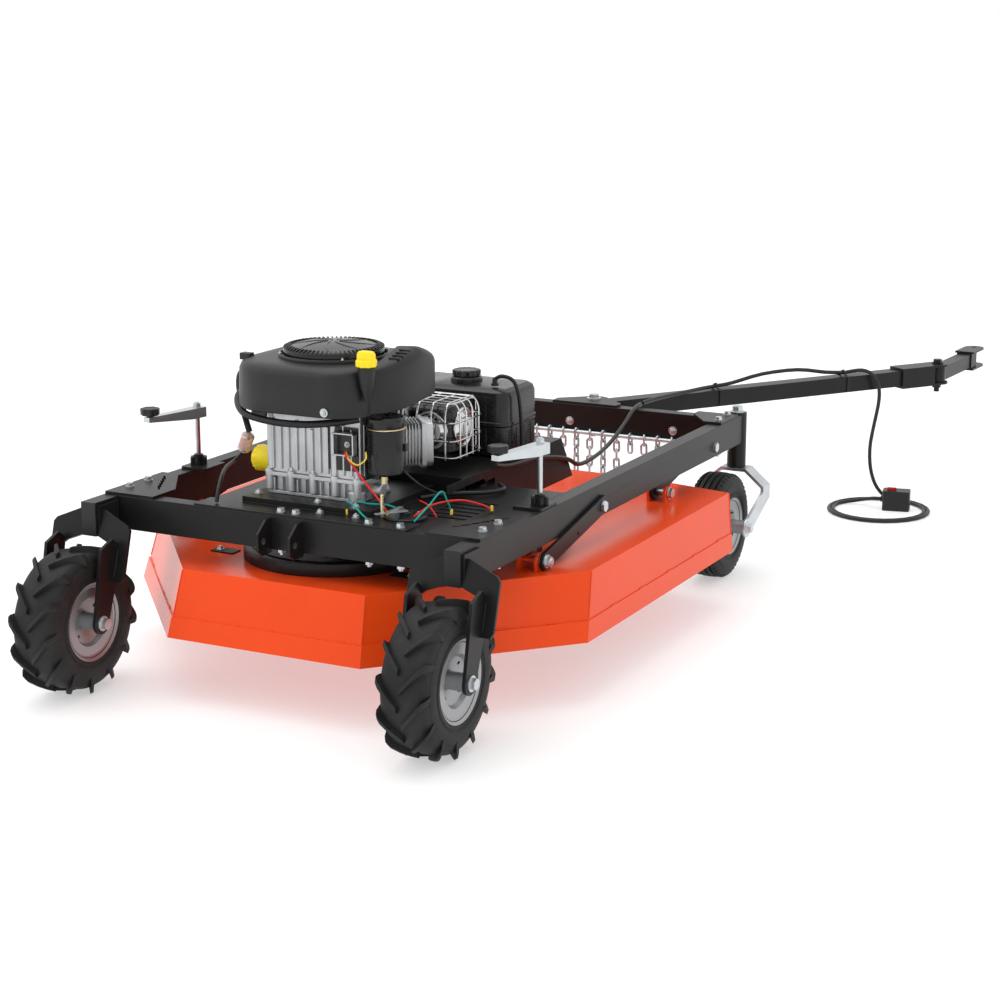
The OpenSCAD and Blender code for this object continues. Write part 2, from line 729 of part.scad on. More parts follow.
module drive_belt() {
    color("#101012") translate([0, engine_y, pulley_z + 5]) linear_extrude(8) difference() {
        belt_plan(drive_r - 0.4, driven_r - 0.4);
        belt_plan(drive_r - groove + 0.4, driven_r - groove + 0.4);
    }
}

module cover_plan(grow) {
    translate([0, engine_y]) circle(210 + grow, $fn = 96);
    translate([0, spindle_y]) circle(135 + grow, $fn = 96);
    translate([-135 - grow, engine_y]) square([270 + 2 * grow, spindle_y - engine_y]);
}

module belt_cover() {
    color(black) difference() {
        union() {
            translate([0, 0, deck_high]) linear_extrude(29) cover_plan(0);
            for (p = [[-232, 196], [232, 196], [-226, 400], [226, 400]]) translate([p[0], p[1], deck_high])
                linear_extrude(3) square([60, 34], center = true);
        }
        translate([0, 0, deck_high - 1]) linear_extrude(28) cover_plan(-3);
        translate([0, engine_y, 0]) cylinder(h = 400, r = 96);
        translate([0, engine_y - 30, 0]) cylinder(h = 400, r = 96);
        rod_z(0, spindle_y, 300, 320, 30);
        for (s = side, y = [196, 400]) rod_z(s * 246, y, 270, 300, 4.2);
    }
}

module spindle() {
    color("#8f9296") {
        rod_z(0, spindle_y, 182, pulley_z + pulley_h + 4, 12.4);
        translate([0, spindle_y, pulley_z]) pulley(driven_r);
        rod_z(0, spindle_y, 182, 200, 34);
    }
}

module blade() {
    color("#4a4c50") difference() {
        translate([0, spindle_y, 0]) {
            translate([0, 0, 172]) linear_extrude(10) round_rect(2 * blade_r - 200, 76, 10);
            for (s = side) rotate([0, 0, s > 0 ? 0 : 180]) {
                block(blade_r - 110, blade_r, -38, 20, 172, 182);
                translate([0, 18, 181]) rotate([25, 0, 0]) block(blade_r - 108, blade_r - 12, -4, 26, -8, 0);
            }
            translate([0, 0, 163]) hex(9, 16);
        }
    }
}

module crankshaft() {
    color("#8f9296") translate([0, engine_y, 0]) {
        translate([0, 0, pulley_z - 4]) cylinder(h = 750.8 - pulley_z + 4, r = 12.4);
        translate([0, 0, pulley_z]) pulley(drive_r);
        translate([0, 0, 400]) cylinder(h = 225, r = 17.5);
        translate([0, 0, 650]) cylinder(h = 40, r = 112);
    }
}

module rotating_screen() {
    color("#2c2e31") translate([0, engine_y, 0]) difference() {
        union() {
            translate([0, 0, 712]) cylinder(h = 44, r = screen_r);
            translate([0, 0, 756 - eps]) cylinder(h = 8, r1 = screen_r - 6, r2 = screen_r - 40);
        }
        translate([0, 0, 711]) cylinder(h = 40, r = screen_r - 4);
    }
}

// ---- suspension links and lift cranks ----
module link_bar(x0, y_up) {
    slope = atan(link_drop / link_run);
    reach = norm([link_run, link_drop]);
    translate([x0, y_up, link_z]) rotate([slope, 0, 0]) difference() {
        union() {
            block(0, link_t, -reach, 18, -link_w / 2, link_w / 2);
            rod_x(0, link_t, -reach, 0, link_w / 2);
        }
        rod_x(-1, link_t + 1, 0, 0, pin_r + pin_clear);
        rod_x(-1, link_t + 1, -reach, 0, pin_r + pin_clear);
        rod_x(-1, link_t + 1, -0.45 * reach, -8, 4);
    }
}

module rear_links() {
    x0 = frame_w / 2 + 1;
    color(black) both_sides() link_bar(x0, rear_link_y);
    color(zinc) both_sides() {
        rod_x(ear_out + 0.5, x0 + link_t + 14, lift_rest_y, low_pin_z, pin_r);
        translate([x0 + link_t, lift_rest_y, low_pin_z]) rotate([0, 90, 0]) {
            cylinder(h = 3, r = 15);
            translate([0, 0, 3 - eps]) hex(8, 12.5);
        }
        difference() {
            rod_x(ear_out + ear_t + 0.5, x0 - 0.2, lift_rest_y, low_pin_z, 14);
            rod_x(400, 500, lift_rest_y, low_pin_z, pin_r);
        }
    }
}

module front_links() {
    x0 = rail_in - 1 - link_t;
    color(black) both_sides() link_bar(x0, front_link_y);
    color(zinc) both_sides() {
        rod_x(ear_in - ear_t - 6, ear_out + ear_t + 8, front_rest_y, low_pin_z, pin_r);
        translate([ear_out + ear_t + 0.5, front_rest_y, low_pin_z]) rotate([0, 90, 0]) {
            cylinder(h = 3, r = 15);
            translate([0, 0, 3 - eps]) hex(8, 12.5);
        }
    }
}

crank_z = 545;
crank_turn = 10;
knob_z = crank_z + 2;

// Crank: long threaded rod, tapered folded arm that points rearward, and top nut
module lift_crank(s) {
    color(zinc) translate([s * screw_x, screw_y, 0]) {
        translate([0, 0, deck_high + 3]) cylinder(h = crank_z + 24 - deck_high - 3, r = screw_r);
        translate([0, 0, crank_z + 12 - eps]) hex(9, 10);
        rotate([0, 0, -crank_turn]) difference() {
            translate([0, 0, crank_z - 12]) linear_extrude(24) polygon([[-15, 16], [15, 16], [15, -8],
                [9, -crank_len - 12], [-9, -crank_len - 12], [-15, -8]]);
            translate([0, -crank_len - 20, crank_z - 12])
                plate_x(-20, 20, [[-10, -20], [crank_len + 20, -20], [crank_len - 10, 0], [-10, 14]]);
        }
    }
}

module crank_knob(s) {
    color(black) translate([s * screw_x, screw_y, 0]) rotate([0, 0, -crank_turn]) translate([0, -crank_len, 0]) {
        translate([0, 0, crank_z + 16]) cylinder(h = 20, r = 19);
        translate([0, 0, crank_z + 12.3]) cylinder(h = 4, r = 9);
    }
}

module crank_foot(s) {
    color(zinc) translate([s * screw_x, screw_y, 0]) difference() {
        union() {
            translate([0, 0, deck_high + 14]) cylinder(h = 3, r = 13.5);
            translate([0, 0, deck_high + 5]) hex(9 + eps, 11);
        }
        translate([0, 0, deck_high]) cylinder(h = 30, r = screw_r + 0.1);
    }
}

// ---- caps ----
module cap(x, y, z, r, h) {
    translate([x, y, z]) {
        cylinder(h = h, r = r);
        for (k = [0 : 11]) rotate([0, 0, 30 * k]) translate([r - 1, 0, 0]) cylinder(h = h, r = 3);
    }
}

module fuel_cap() {
    color(black) cap(100, 730, 626.2, 33, 16);
}

module oil_cap() {
    color("gold") {
        cap(158, 172, 738.2, 21, 34);
    }
}

// ---- guard chains on their rod ----
chain_pitch = 40;
chain_count = 16;
chain_first = -292;
chain_z = 342;
chain_y = 1500;
// The outer chains are short, so that the casters can swing round under them
function chain_low(x) = abs(x) > 175 ? 288 : 185;

module guard_chains() {
    color(zinc) {
        rod_x(-330, 330, chain_y, chain_z, 6);
        for (k = [0 : chain_count - 1]) translate([chain_first + chain_pitch * k, 0, 0]) difference() {
            union() {
                block(-10, 10, chain_y - 6, chain_y + 6, chain_low(chain_first + chain_pitch * k), chain_z);
                rod_x(-5, 5, chain_y, chain_z, 12);
            }
            rod_x(-20, 20, chain_y, chain_z, 6.4);
        }
    }
}

// ---- tongue, hitch and control cable ----
module along_tongue() {
    translate([tongue_root[0], tongue_root[1], 0]) rotate([0, 0, -tongue_angle]) children();
}

module tongue_bar() {
    z0 = tongue_top - tongue_h;
    along_tongue() {
        color(black) difference() {
            union() {
                rod_z(0, 0, frame_low + 1, frame_top - 1, 26);
                block(-tongue_w / 2, tongue_w / 2, 0, tongue_len - 70, z0, tongue_top);
                block(-32, 32, tongue_len - 155, tongue_len - 30, z0 - 7, tongue_top + 7);
                for (z = [z0 - 7, tongue_top + 1]) translate([0, 0, z]) linear_extrude(6) {
                    translate([0, tongue_len]) circle(32);
                    translate([-32, tongue_len - 60]) square([64, 60]);
                }
            }
            block(-tongue_w / 2 + 3, tongue_w / 2 - 3, 40, tongue_len - 165, z0 + 3, tongue_top - 3);
            rod_z(0, 0, 0, 500, 10.3);
            block(-40, 40, tongue_len - 34, tongue_len + 40, z0 - 1, tongue_top + 1);
            rod_z(0, tongue_len, 0, 500, 8.2);
        }
        color(zinc) {
            rod_z(0, tongue_len, z0 - 32, tongue_top + 7, 8);
            translate([0, tongue_len, tongue_top + 7 - eps]) cylinder(h = 3, r = 17);
            translate([0, tongue_len, tongue_top + 10 - 2 * eps]) hex(10, 13);
            translate([0, tongue_len, z0 - 20]) hex(12, 13);
        }
    }
}

module hitch_arm() {
    z0 = tongue_top - tongue_h;
    color(black) translate([hitch_pivot[0], hitch_pivot[1], 0]) rotate([0, 0, -hitch_angle]) difference() {
        union() {
            rod_z(0, 0, z0 - 0.5, tongue_top + 0.5, 24);
            block(-20, 20, 0, hitch_len - 48, z0 + 2, tongue_top - 2);
            for (z = [z0 - 6, tongue_top]) translate([0, 0, z]) linear_extrude(6) {
                translate([0, hitch_len]) circle(hitch_end_r);
                translate([-hitch_end_r, hitch_len - 95]) square([2 * hitch_end_r, 95]);
            }
            block(-24, 24, hitch_len - 95, hitch_len - 46, z0 - 1, tongue_top + 1);
        }
        block(-17, 17, 30, hitch_len - 60, z0 - 5, tongue_top - 5);
        rod_z(0, 0, 300, 500, 8.2);
        rod_z(0, hitch_len, 300, 500, hitch_hole_r);
    }
}

module tongue_cable() {
    color("#303236") {
        swept(smooth(cable_tongue, 3), cable_r);
        // ties, each a loose ring round the cable
        for (p = cable_ties) translate(p) rotate([0, 0, -tongue_angle]) rotate([90, 0, 0]) difference() {
            translate([0, 0, -3]) cylinder(h = 6, r = cable_r + 2.5);
            translate([0, 0, -4]) cylinder(h = 8, r = cable_r + 1.1);
        }
    }
}

cable_tongue = [[190, 1574, 423], [200, 1640, 424], [222, 1752, 422], [250, 1865, 421], [268, 1915, 420.6],
    [300, 1960, 425], [360, 2045, 442], [430, 2146, 444], [486, 2230, 428],
    [527, 2292.3, 420.8]];
cable_ties = [[268, 1915, 420.6], [522.4, 2285.6, 420.6]];
cable_free = [[527.5, 2293, 420.9], [535, 2302.5, 422.3], [551, 2313, 425], [570, 2320, 426.5], [589, 2326, 420.5],
    [604, 2333, 406.5], [613, 2341, 385.5], [615, 2350, 355], [609, 2363, 317], [594, 2382, 260],
    [578, 2403, 195], [571, 2420, 140],
    [576, 2440, 92], [580, 2462, 52], [590, 2483, 29], [608, 2496, 20.5], [633, 2501.5, 17.5], [662, 2494, 17.5]];
cable_to_pod = [[494, 2400, 17.5], [520, 2403, 17.5], [552, 2396, 19], [580, 2382, 26], [603, 2378, 31],
    [622.4, 2382.2, 31]];
pod_place = [668, 2392, 0];

module control_cable() {
    color("#303236") {
        swept(smooth(cable_free, 3), cable_r);
        swept(smooth(cable_to_pod, 3), cable_r);
    }
}

module cable_coil() {
    color("#303236") translate([coil_centre[0], coil_centre[1], 0]) rotate_extrude($fn = 96)
        translate([coil_r - 16.5, 0.3]) square([33, 11]);
}

module control_pod() {
    color(black) translate(pod_place) rotate([0, 0, 12]) difference() {
        union() {
            soft_block(-40, 40, -25, 25, 0.2, 60, 8);
            rod_x(-46, -40 + eps, 0, 31, 9);
        }
        block(-28, 0, -8.6, 8.6, 52, 61);
    }
}

module pod_switch() {
    color("crimson") translate(pod_place) rotate([0, 0, 12])
        union() {
            plate_x(-27.5, -0.5, [[-6.5, 56], [-6.5, 69], [-2, 64], [6.5, 62], [6.5, 56]]);
            // pin that the rocker turns on
            rod_x(-26.5, -1.5, 0, 57, 4);
        }
}

placed() side_rails();
placed() cross_tubes();
placed() frame_plates();
placed() rail_end_caps();
placed() rear_forks();
placed() engine_plate();
placed() frame_bolts();
placed() crank_mounts();
placed() crankcase();
placed() cylinder_heads();
placed() blower_housing();
placed() air_cleaner();
placed() oil_filter();
placed() starter_motor();
placed() carburettor();
placed() muffler();
placed() muffler_guard();
placed() fuel_tank();
placed() tank_stand();
placed() engine_hoses();
placed() regulator();
placed() wiring_loom();
placed() battery();
placed() rear_tyre(-1);  // rear_tyre_left
placed() rear_tyre(1);  // rear_tyre_right
placed() rear_rim(-1);  // rear_rim_left
placed() rear_rim(1);  // rear_rim_right
placed() caster_fork(-1);  // caster_fork_left
placed() caster_fork(1);  // caster_fork_right
placed() caster_tyre(-1);  // caster_tyre_left
placed() caster_tyre(1);  // caster_tyre_right
placed() caster_rim(-1);  // caster_rim_left
placed() caster_rim(1);  // caster_rim_right
placed() deck_shell();
placed() deck_brackets();
placed() spindle_housing();
placed() belt_cover();
placed() drive_belt();
placed() spindle();
placed() blade();
placed() crankshaft();
placed() rotating_screen();
placed() rear_links();
placed() front_links();
placed() lift_crank(-1);  // lift_crank_left
placed() lift_crank(1);  // lift_crank_right
placed() crank_knob(-1);  // crank_knob_left
placed() crank_knob(1);  // crank_knob_right
placed() crank_foot(-1);  // crank_foot_left
placed() crank_foot(1);  // crank_foot_right
placed() fuel_cap();
placed() oil_cap();
placed() guard_chains();
placed() tongue_bar();
placed() hitch_arm();
placed() tongue_cable();
placed() control_cable();
placed() cable_coil();
placed() control_pod();
placed() pod_switch();
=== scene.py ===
import json
import math
import random

import bmesh
import bpy
from mathutils import Matrix, Vector


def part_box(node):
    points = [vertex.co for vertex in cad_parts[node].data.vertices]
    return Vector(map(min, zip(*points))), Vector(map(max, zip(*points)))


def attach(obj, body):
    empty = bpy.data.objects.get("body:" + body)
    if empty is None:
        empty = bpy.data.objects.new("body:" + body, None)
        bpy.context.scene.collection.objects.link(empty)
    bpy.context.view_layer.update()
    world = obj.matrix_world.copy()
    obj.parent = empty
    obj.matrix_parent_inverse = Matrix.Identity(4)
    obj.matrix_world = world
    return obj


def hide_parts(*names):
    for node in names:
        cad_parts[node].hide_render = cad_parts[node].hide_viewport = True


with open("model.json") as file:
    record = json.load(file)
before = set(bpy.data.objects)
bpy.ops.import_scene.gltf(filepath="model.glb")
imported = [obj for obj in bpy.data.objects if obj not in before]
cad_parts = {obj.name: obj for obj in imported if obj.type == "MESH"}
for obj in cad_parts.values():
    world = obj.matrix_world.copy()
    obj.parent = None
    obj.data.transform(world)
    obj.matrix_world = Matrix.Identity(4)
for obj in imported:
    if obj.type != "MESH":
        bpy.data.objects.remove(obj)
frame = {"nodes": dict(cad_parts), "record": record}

random.seed(4)
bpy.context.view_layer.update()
TAU = 2 * math.pi

# Shapes below are in millimetres from the middle of the rails' rear ends, at ground level.
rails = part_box("side_rails")
ORIGIN_X, ORIGIN_Y = (rails[0].x + rails[1].x) / 2, rails[0].y


def place(p):
    return (ORIGIN_X + p[0] / 1000, ORIGIN_Y + p[1] / 1000, p[2] / 1000)


def polar(centre, angle, r):
    return (centre[0] + r * math.cos(angle), centre[1] + r * math.sin(angle))


# ---------------------------------------------------------------- materials
def material(name, colour, rough=0.5, metal=0.0, spread=0.06, grain=400, bump=0.15, blotch=6,
             rough_spread=0.1, coat=0.0, dust=0.0, alpha=1.0, brushed=None, spec=0.5):
    m = bpy.data.materials.new(name)
    m.use_nodes = True
    nodes, links = m.node_tree.nodes, m.node_tree.links
    shader = nodes["Principled BSDF"]
    shader.inputs["Metallic"].default_value = metal
    shader.inputs["Coat Weight"].default_value = coat
    shader.inputs["Coat Roughness"].default_value = 0.08
    shader.inputs["Specular IOR Level"].default_value = spec
    if alpha < 1:
        shader.inputs["Transmission Weight"].default_value = 1 - alpha
    where = nodes.new("ShaderNodeTexCoord")
    scaled = nodes.new("ShaderNodeMapping")
    links.new(where.outputs["Object"], scaled.inputs["Vector"])
    if brushed:
        scaled.inputs["Scale"].default_value = brushed
    large = nodes.new("ShaderNodeTexNoise")
    large.inputs["Scale"].default_value = blotch
    large.inputs["Detail"].default_value = 6
    links.new(where.outputs["Object"], large.inputs["Vector"])
    fine = nodes.new("ShaderNodeTexNoise")
    fine.inputs["Scale"].default_value = grain
    fine.inputs["Detail"].default_value = 3
    links.new(scaled.outputs["Vector"], fine.inputs["Vector"])
    ramp = nodes.new("ShaderNodeValToRGB")
    low = [max(0, c * (1 - spread)) for c in colour]
    high = [min(1, c * (1 + spread) + dust * 0.06) for c in colour]
    ramp.color_ramp.elements[0].position, ramp.color_ramp.elements[1].position = 0.3, 0.7
    ramp.color_ramp.elements[0].color = (*low, 1)
    ramp.color_ramp.elements[1].color = (*high, 1)
    links.new(large.outputs["Fac"], ramp.inputs["Fac"])
    links.new(ramp.outputs["Color"], shader.inputs["Base Color"])
    span = nodes.new("ShaderNodeMapRange")
    span.inputs["From Min"].default_value, span.inputs["From Max"].default_value = 0.3, 0.7
    span.inputs["To Min"].default_value = max(0.03, rough - rough_spread)
    span.inputs["To Max"].default_value = min(1, rough + rough_spread)
    links.new(fine.outputs["Fac"], span.inputs["Value"])
    links.new(span.outputs["Result"], shader.inputs["Roughness"])
    relief = nodes.new("ShaderNodeBump")
    relief.inputs["Strength"].default_value = bump
    relief.inputs["Distance"].default_value = 0.0006
    links.new(fine.outputs["Fac"], relief.inputs["Height"])
    links.new(relief.outputs["Normal"], shader.inputs["Normal"])
    return m


BLACK = material("black_coat", (0.010, 0.0095, 0.0095), 0.36, spread=0.2, grain=900, bump=0.1, dust=0.03, spec=0.22,
                 rough_spread=0.04)
ORANGE = material("orange_coat", (0.81, 0.066, 0.008), 0.2, spread=0.03, grain=300, bump=0.02, spec=0.2,
                  rough_spread=0.03)
ZINC = material("zinc_plate", (0.58, 0.61, 0.63), 0.36, 1.0, spread=0.06, grain=160, bump=0.01, blotch=30,
                rough_spread=0.015)
GOLD_ZINC = material("yellow_zinc", (0.70, 0.60, 0.36), 0.3, 1.0, spread=0.15, grain=160, bump=0.05, blotch=30)
CAST = material("cast_alloy", (0.50, 0.51, 0.52), 0.4, 0.85, spread=0.14, grain=500, bump=0.35, blotch=14,
                rough_spread=0.1)
RIM = material("silver_paint", (0.36, 0.37, 0.38), 0.38, 0.75, spread=0.04, grain=120, bump=0.008, blotch=5,
               rough_spread=0.02)
TREAD = material("tread_rubber", (0.012, 0.012, 0.012), 0.6, spread=0.3, grain=700, bump=0.3, blotch=20, dust=0.05,
                 spec=0.3)
HOSE = material("hose_rubber", (0.011, 0.011, 0.012), 0.42, spread=0.25, grain=500, bump=0.12, blotch=30, spec=0.35)
PLASTIC = material("grained_plastic", (0.013, 0.013, 0.0135), 0.42, spread=0.2, grain=1500, bump=0.3, blotch=9,
                   spec=0.35)
GLOSS = material("gloss_plastic", (0.008, 0.008, 0.0085), 0.26, spread=0.2, grain=200, bump=0.02, spec=0.4,
                 rough_spread=0.04)
YELLOW = material("yellow_enamel", (0.95, 0.72, 0.015), 0.33, spread=0.03, grain=200, bump=0.04, spec=0.3)
RED = material("red_plastic", (0.55, 0.015, 0.015), 0.3, spread=0.06, grain=200, bump=0.04, spec=0.3)
STEEL = material("bare_steel", (0.36, 0.37, 0.38), 0.36, 1.0, spread=0.12, grain=120, bump=0.05, brushed=(1, 1, 12))
CHROME = material("polished_cover", (0.60, 0.60, 0.60), 0.16, 1.0, spread=0.08, grain=120, bump=0.04,
                  rough_spread=0.05)
PINK = material("filter_bowl", (0.85, 0.55, 0.45), 0.25, spread=0.08, grain=90, bump=0.03, alpha=0.6)
WIRE_RED = material("wire_red", (0.75, 0.02, 0.015), 0.4, spread=0.05, grain=200, bump=0.04, spec=0.3)
WIRE_GREEN = material("wire_green", (0.0, 0.36, 0.31), 0.4, spread=0.05, grain=200, bump=0.04, spec=0.3)
WIRE_YELLOW = material("wire_yellow", (0.85, 0.6, 0.05), 0.4, spread=0.05, grain=200, bump=0.04, spec=0.3)


# ---------------------------------------------------------------- mesh tools
AXES = {"x": (1, 2, 0), "y": (2, 0, 1), "z": (0, 1, 2)}


def on_axis(axis, along, u, v):
    p = [0, 0, 0]
    iu, iv, ia = AXES[axis]
    p[iu], p[iv], p[ia] = u, v, along
    return tuple(p)


class Mesh:
    def __init__(self):
        self.v, self.f, self.m = [], [], []

    def add(self, verts, faces, m=0):
        n = len(self.v)
        self.v += [tuple(p) for p in verts]
        self.f += [[i + n for i in face] for face in faces]
        self.m += [m] * len(faces)

    def rings(self, rings, m=0, caps=True, loop=False):
        n = len(rings[0])
        verts = [p for ring in rings for p in ring]
        faces = []
        for i in range(len(rings) - (0 if loop else 1)):
            j = (i + 1) % len(rings)
            for k in range(n):
                faces.append([i * n + k, i * n + (k + 1) % n, j * n + (k + 1) % n, j * n + k])
        if caps and not loop:
            faces += [list(range(n))[::-1], [(len(rings) - 1) * n + k for k in range(n)]]
        self.add(verts, faces, m)

    def prism(self, outline, lo, hi, axis="z", m=0, at=(0, 0, 0)):
        self.rings([[tuple(a + b for a, b in zip(on_axis(axis, h, u, v), at)) for u, v in outline]
                    for h in (lo, hi)], m)

    def box(self, x0, x1, y0, y1, z0, z1, m=0):
        self.prism([(x0, y0), (x1, y0), (x1, y1), (x0, y1)], z0, z1, "z", m)

    def lathe(self, profile, centre, axis="z", n=48, m=0, caps=True, turn=0.0):
        self.rings([[tuple(a + b for a, b in zip(on_axis(axis, h, max(r, 0.01) * math.cos(TAU * k / n + turn),
                                                         max(r, 0.01) * math.sin(TAU * k / n + turn)), centre))
                     for k in range(n)] for h, r in profile], m, caps)

    def bolt(self, centre, axis="z", r=8, h=7, m=0, sign=1, turn=0.3):
        self.lathe([(0, r * 1.35), (sign * 1.6, r * 1.35), (sign * 1.9, r * 1.2)], centre, axis, 24, m)
        self.lathe([(sign * 1.9, r), (sign * (h - 1.2), r), (sign * h, r * 0.86)], centre, axis, 6, m, turn=turn)
        self.lathe([(sign * (h - 0.5), r * 0.5), (sign * (h + 2.2), r * 0.5), (sign * (h + 2.8), r * 0.4)],
                   centre, axis, 16, m)

    def tube(self, points, r, n=10, m=0, loop=False):
        pts = [Vector(p) for p in points]
        up = Vector((0.21, 0.13, 0.97))
        rings = []
        for i, p in enumerate(pts):
            a = pts[(i - 1) % len(pts)] if loop or i else p
            b = pts[(i + 1) % len(pts)] if loop or i < len(pts) - 1 else p
            t = (b - a).normalized()
            side = (up - up.dot(t) * t)
            if side.length < 0.05:
                side = Vector((1, 0.3, 0)) - Vector((1, 0.3, 0)).dot(t) * t
            side.normalize()
            up = side
            w = t.cross(side)
            rr = r[i] if isinstance(r, (list, tuple)) else r
            rings.append([tuple(p + rr * (math.cos(TAU * k / n) * side + math.sin(TAU * k / n) * w))
                          for k in range(n)])
        self.rings(rings, m, not loop, loop)

    def make(self, name, body, mats, stands_for=(), slot=None, bevel=0.0, segments=2, angle=38):
        me = bpy.data.meshes.new(name)
        me.from_pydata([place(p) for p in self.v], [], self.f)
        for mat in mats:
            me.materials.append(mat)
        me.polygons.foreach_set("material_index", self.m)
        work = bmesh.new()
        work.from_mesh(me)
        bmesh.ops.recalc_face_normals(work, faces=work.faces)
        work.to_mesh(me)
        work.free()
        me.polygons.foreach_set("use_smooth", [True] * len(me.polygons))
        me.set_sharp_from_angle(angle=math.radians(angle))
        o = bpy.data.objects.new(name, me)
        bpy.context.scene.collection.objects.link(o)
        if bevel:
            mod = o.modifiers.new("edges", "BEVEL")
            mod.width, mod.segments = bevel / 1000, segments
            mod.limit_method, mod.angle_limit = "ANGLE", math.radians(30)
            mod.harden_normals = True
        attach(o, body)
        if stands_for:
            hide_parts(*stands_for)
        return o


def catmull(points, steps):
    out = []
    pts = [Vector(p) for p in points]
    for i in range(len(pts) - 1):
        a, b, c, d = pts[max(i - 1, 0)], pts[i], pts[i + 1], pts[min(i + 2, len(pts) - 1)]
        for k in range(steps):
            t = k / steps
            out.append(0.5 * (2 * b + (c - a) * t + (2 * a - 5 * b + 4 * c - d) * t * t
                              + (3 * b - a - 3 * c + d) * t * t * t))
    return out + [pts[-1]]


def rounded(x0, x1, y0, y1, r, n=6):
    """Corner points of a rounded rectangle, one radius or four (from the low corner, anticlockwise)."""
    rs = r if isinstance(r, (list, tuple)) else [r] * 4
    corners = [(x0, y0, 1, 1), (x1, y0, -1, 1), (x1, y1, -1, -1), (x0, y1, 1, -1)]
    out = []
    for k, (x, y, sx, sy) in enumerate(corners):
        cx, cy = x + sx * rs[k], y + sy * rs[k]
        for i in range(n + 1):
            a = math.pi + k * math.pi / 2 + i * math.pi / 2 / n
            out.append((cx + rs[k] * math.cos(a), cy + rs[k] * math.sin(a)))
    return out


def cord_line(name, body, points, r, mat, stands_for=()):
    data = bpy.data.curves.new(name, "CURVE")
    data.dimensions = "3D"
    data.bevel_depth, data.bevel_resolution, data.resolution_u = r / 1000, 4, 6
    data.use_fill_caps = True
    spline = data.splines.new("POLY")
    spline.points.add(len(points) - 1)
    for q, p in zip(spline.points, points):
        q.co = (*place(p), 1)
    spline.use_smooth = True
    data.materials.append(mat)
    o = bpy.data.objects.new(name, data)
    bpy.context.scene.collection.objects.link(o)
    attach(o, body)
    if stands_for:
        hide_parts(*stands_for)
    return o


# ---------------------------------------------------------------- camera and light
cam_data = bpy.data.cameras.new("camera")
cam_data.lens, cam_data.sensor_width = 76.09, 36
cam_data.shift_x, cam_data.shift_y = -0.0041, 0.0032
cam = bpy.data.objects.new("camera", cam_data)
cam.location = place((2418.7, -3616.7, 1507.7))
cam.rotation_euler = (math.radians(90 - 13.608), 0, math.radians(27.047))
bpy.context.scene.collection.objects.link(cam)
bpy.context.scene.camera = cam
bpy.context.scene.view_settings.view_transform = "Standard"

world = bpy.data.worlds.new("world")
bpy.context.scene.world = world
world.use_nodes = True
world.node_tree.nodes["Background"].inputs["Color"].default_value = (1, 1, 1, 1)
world.node_tree.nodes["Background"].inputs["Strength"].default_value = 1.0


def sky_light(name, direction, strength, angle):
    data = bpy.data.lights.new(name, "SUN")
    data.energy, data.angle = strength, math.radians(angle)
    o = bpy.data.objects.new(name, data)
    o.rotation_euler = Vector(direction).to_track_quat("-Z", "Y").to_euler()
    bpy.context.scene.collection.objects.link(o)


sky_light("overhead", (0.25, -0.1, -1), 0.9, 50)
sky_light("from_left", (0.8, 0.55, -0.7), 0.35, 40)

floor_data = bpy.data.meshes.new("floor")
floor_data.from_pydata([(-30, -30, 0), (30, -30, 0), (30, 30, 0), (-30, 30, 0)], [], [(0, 1, 2, 3)])
FLOOR = material("pale_floor", (0.56, 0.56, 0.56), 0.75, spread=0.01, grain=20, bump=0.0)
# a mid-grey floor that glows looks as pale as a white one, and takes less colour from the orange deck
glow = FLOOR.node_tree.nodes["Principled BSDF"]
glow.inputs["Emission Color"].default_value = (1, 1, 1, 1)
glow.inputs["Emission Strength"].default_value = 0.45
floor_data.materials.append(FLOOR)
floor = bpy.data.objects.new("floor", floor_data)
bpy.context.scene.collection.objects.link(floor)

# ---------------------------------------------------------------- cords
CABLE_R = 5.5
COIL = (625, 2345)
free_route = [(527.5, 2293, 420.9), (535, 2302.5, 422.3), (551, 2313, 425), (570, 2320, 426.5), (589, 2326, 420.5),
              (604, 2333, 406.5), (613, 2341, 385.5), (615, 2350, 355), (609, 2363, 317), (594, 2382, 260),
              (578, 2403, 195), (571, 2423, 146), (570, 2441, 106), (572, 2459, 75), (577, 2473, 51), (586, 2484, 31.5),
              (598, 2491.5, 17), (613, 2496, 8.8)]
turns = []
COIL_STEPS = 46
for i in range(COIL_STEPS + 1):
    k = i / COIL_STEPS
    turns.append((*polar(COIL, math.radians(88 - 638 * k), 152 - 21.5 * k), 5.9))
to_pod = [(505.5, 2387.4, 6.2), (519.5, 2400, 8), (537, 2406.3, 11), (555.5, 2404.8, 16), (573, 2396.5, 21.5),
          (589, 2387.4, 26.5), (604.5, 2382.6, 30), (622, 2382, 31)]
cable_points = catmull(free_route + turns[:1], 2)[:-1] + [Vector(p) for p in turns[:-1]] + \
    catmull(turns[-1:] + to_pod, 2)
control = cord_line("control_cable_line", "tongue", cable_points, CABLE_R, HOSE, ("control_cable", "cable_coil"))
cable_length = sum((Vector(b) - Vector(a)).length for a, b in zip(cable_points, cable_points[1:])) / 1000
place(cable_points[0])

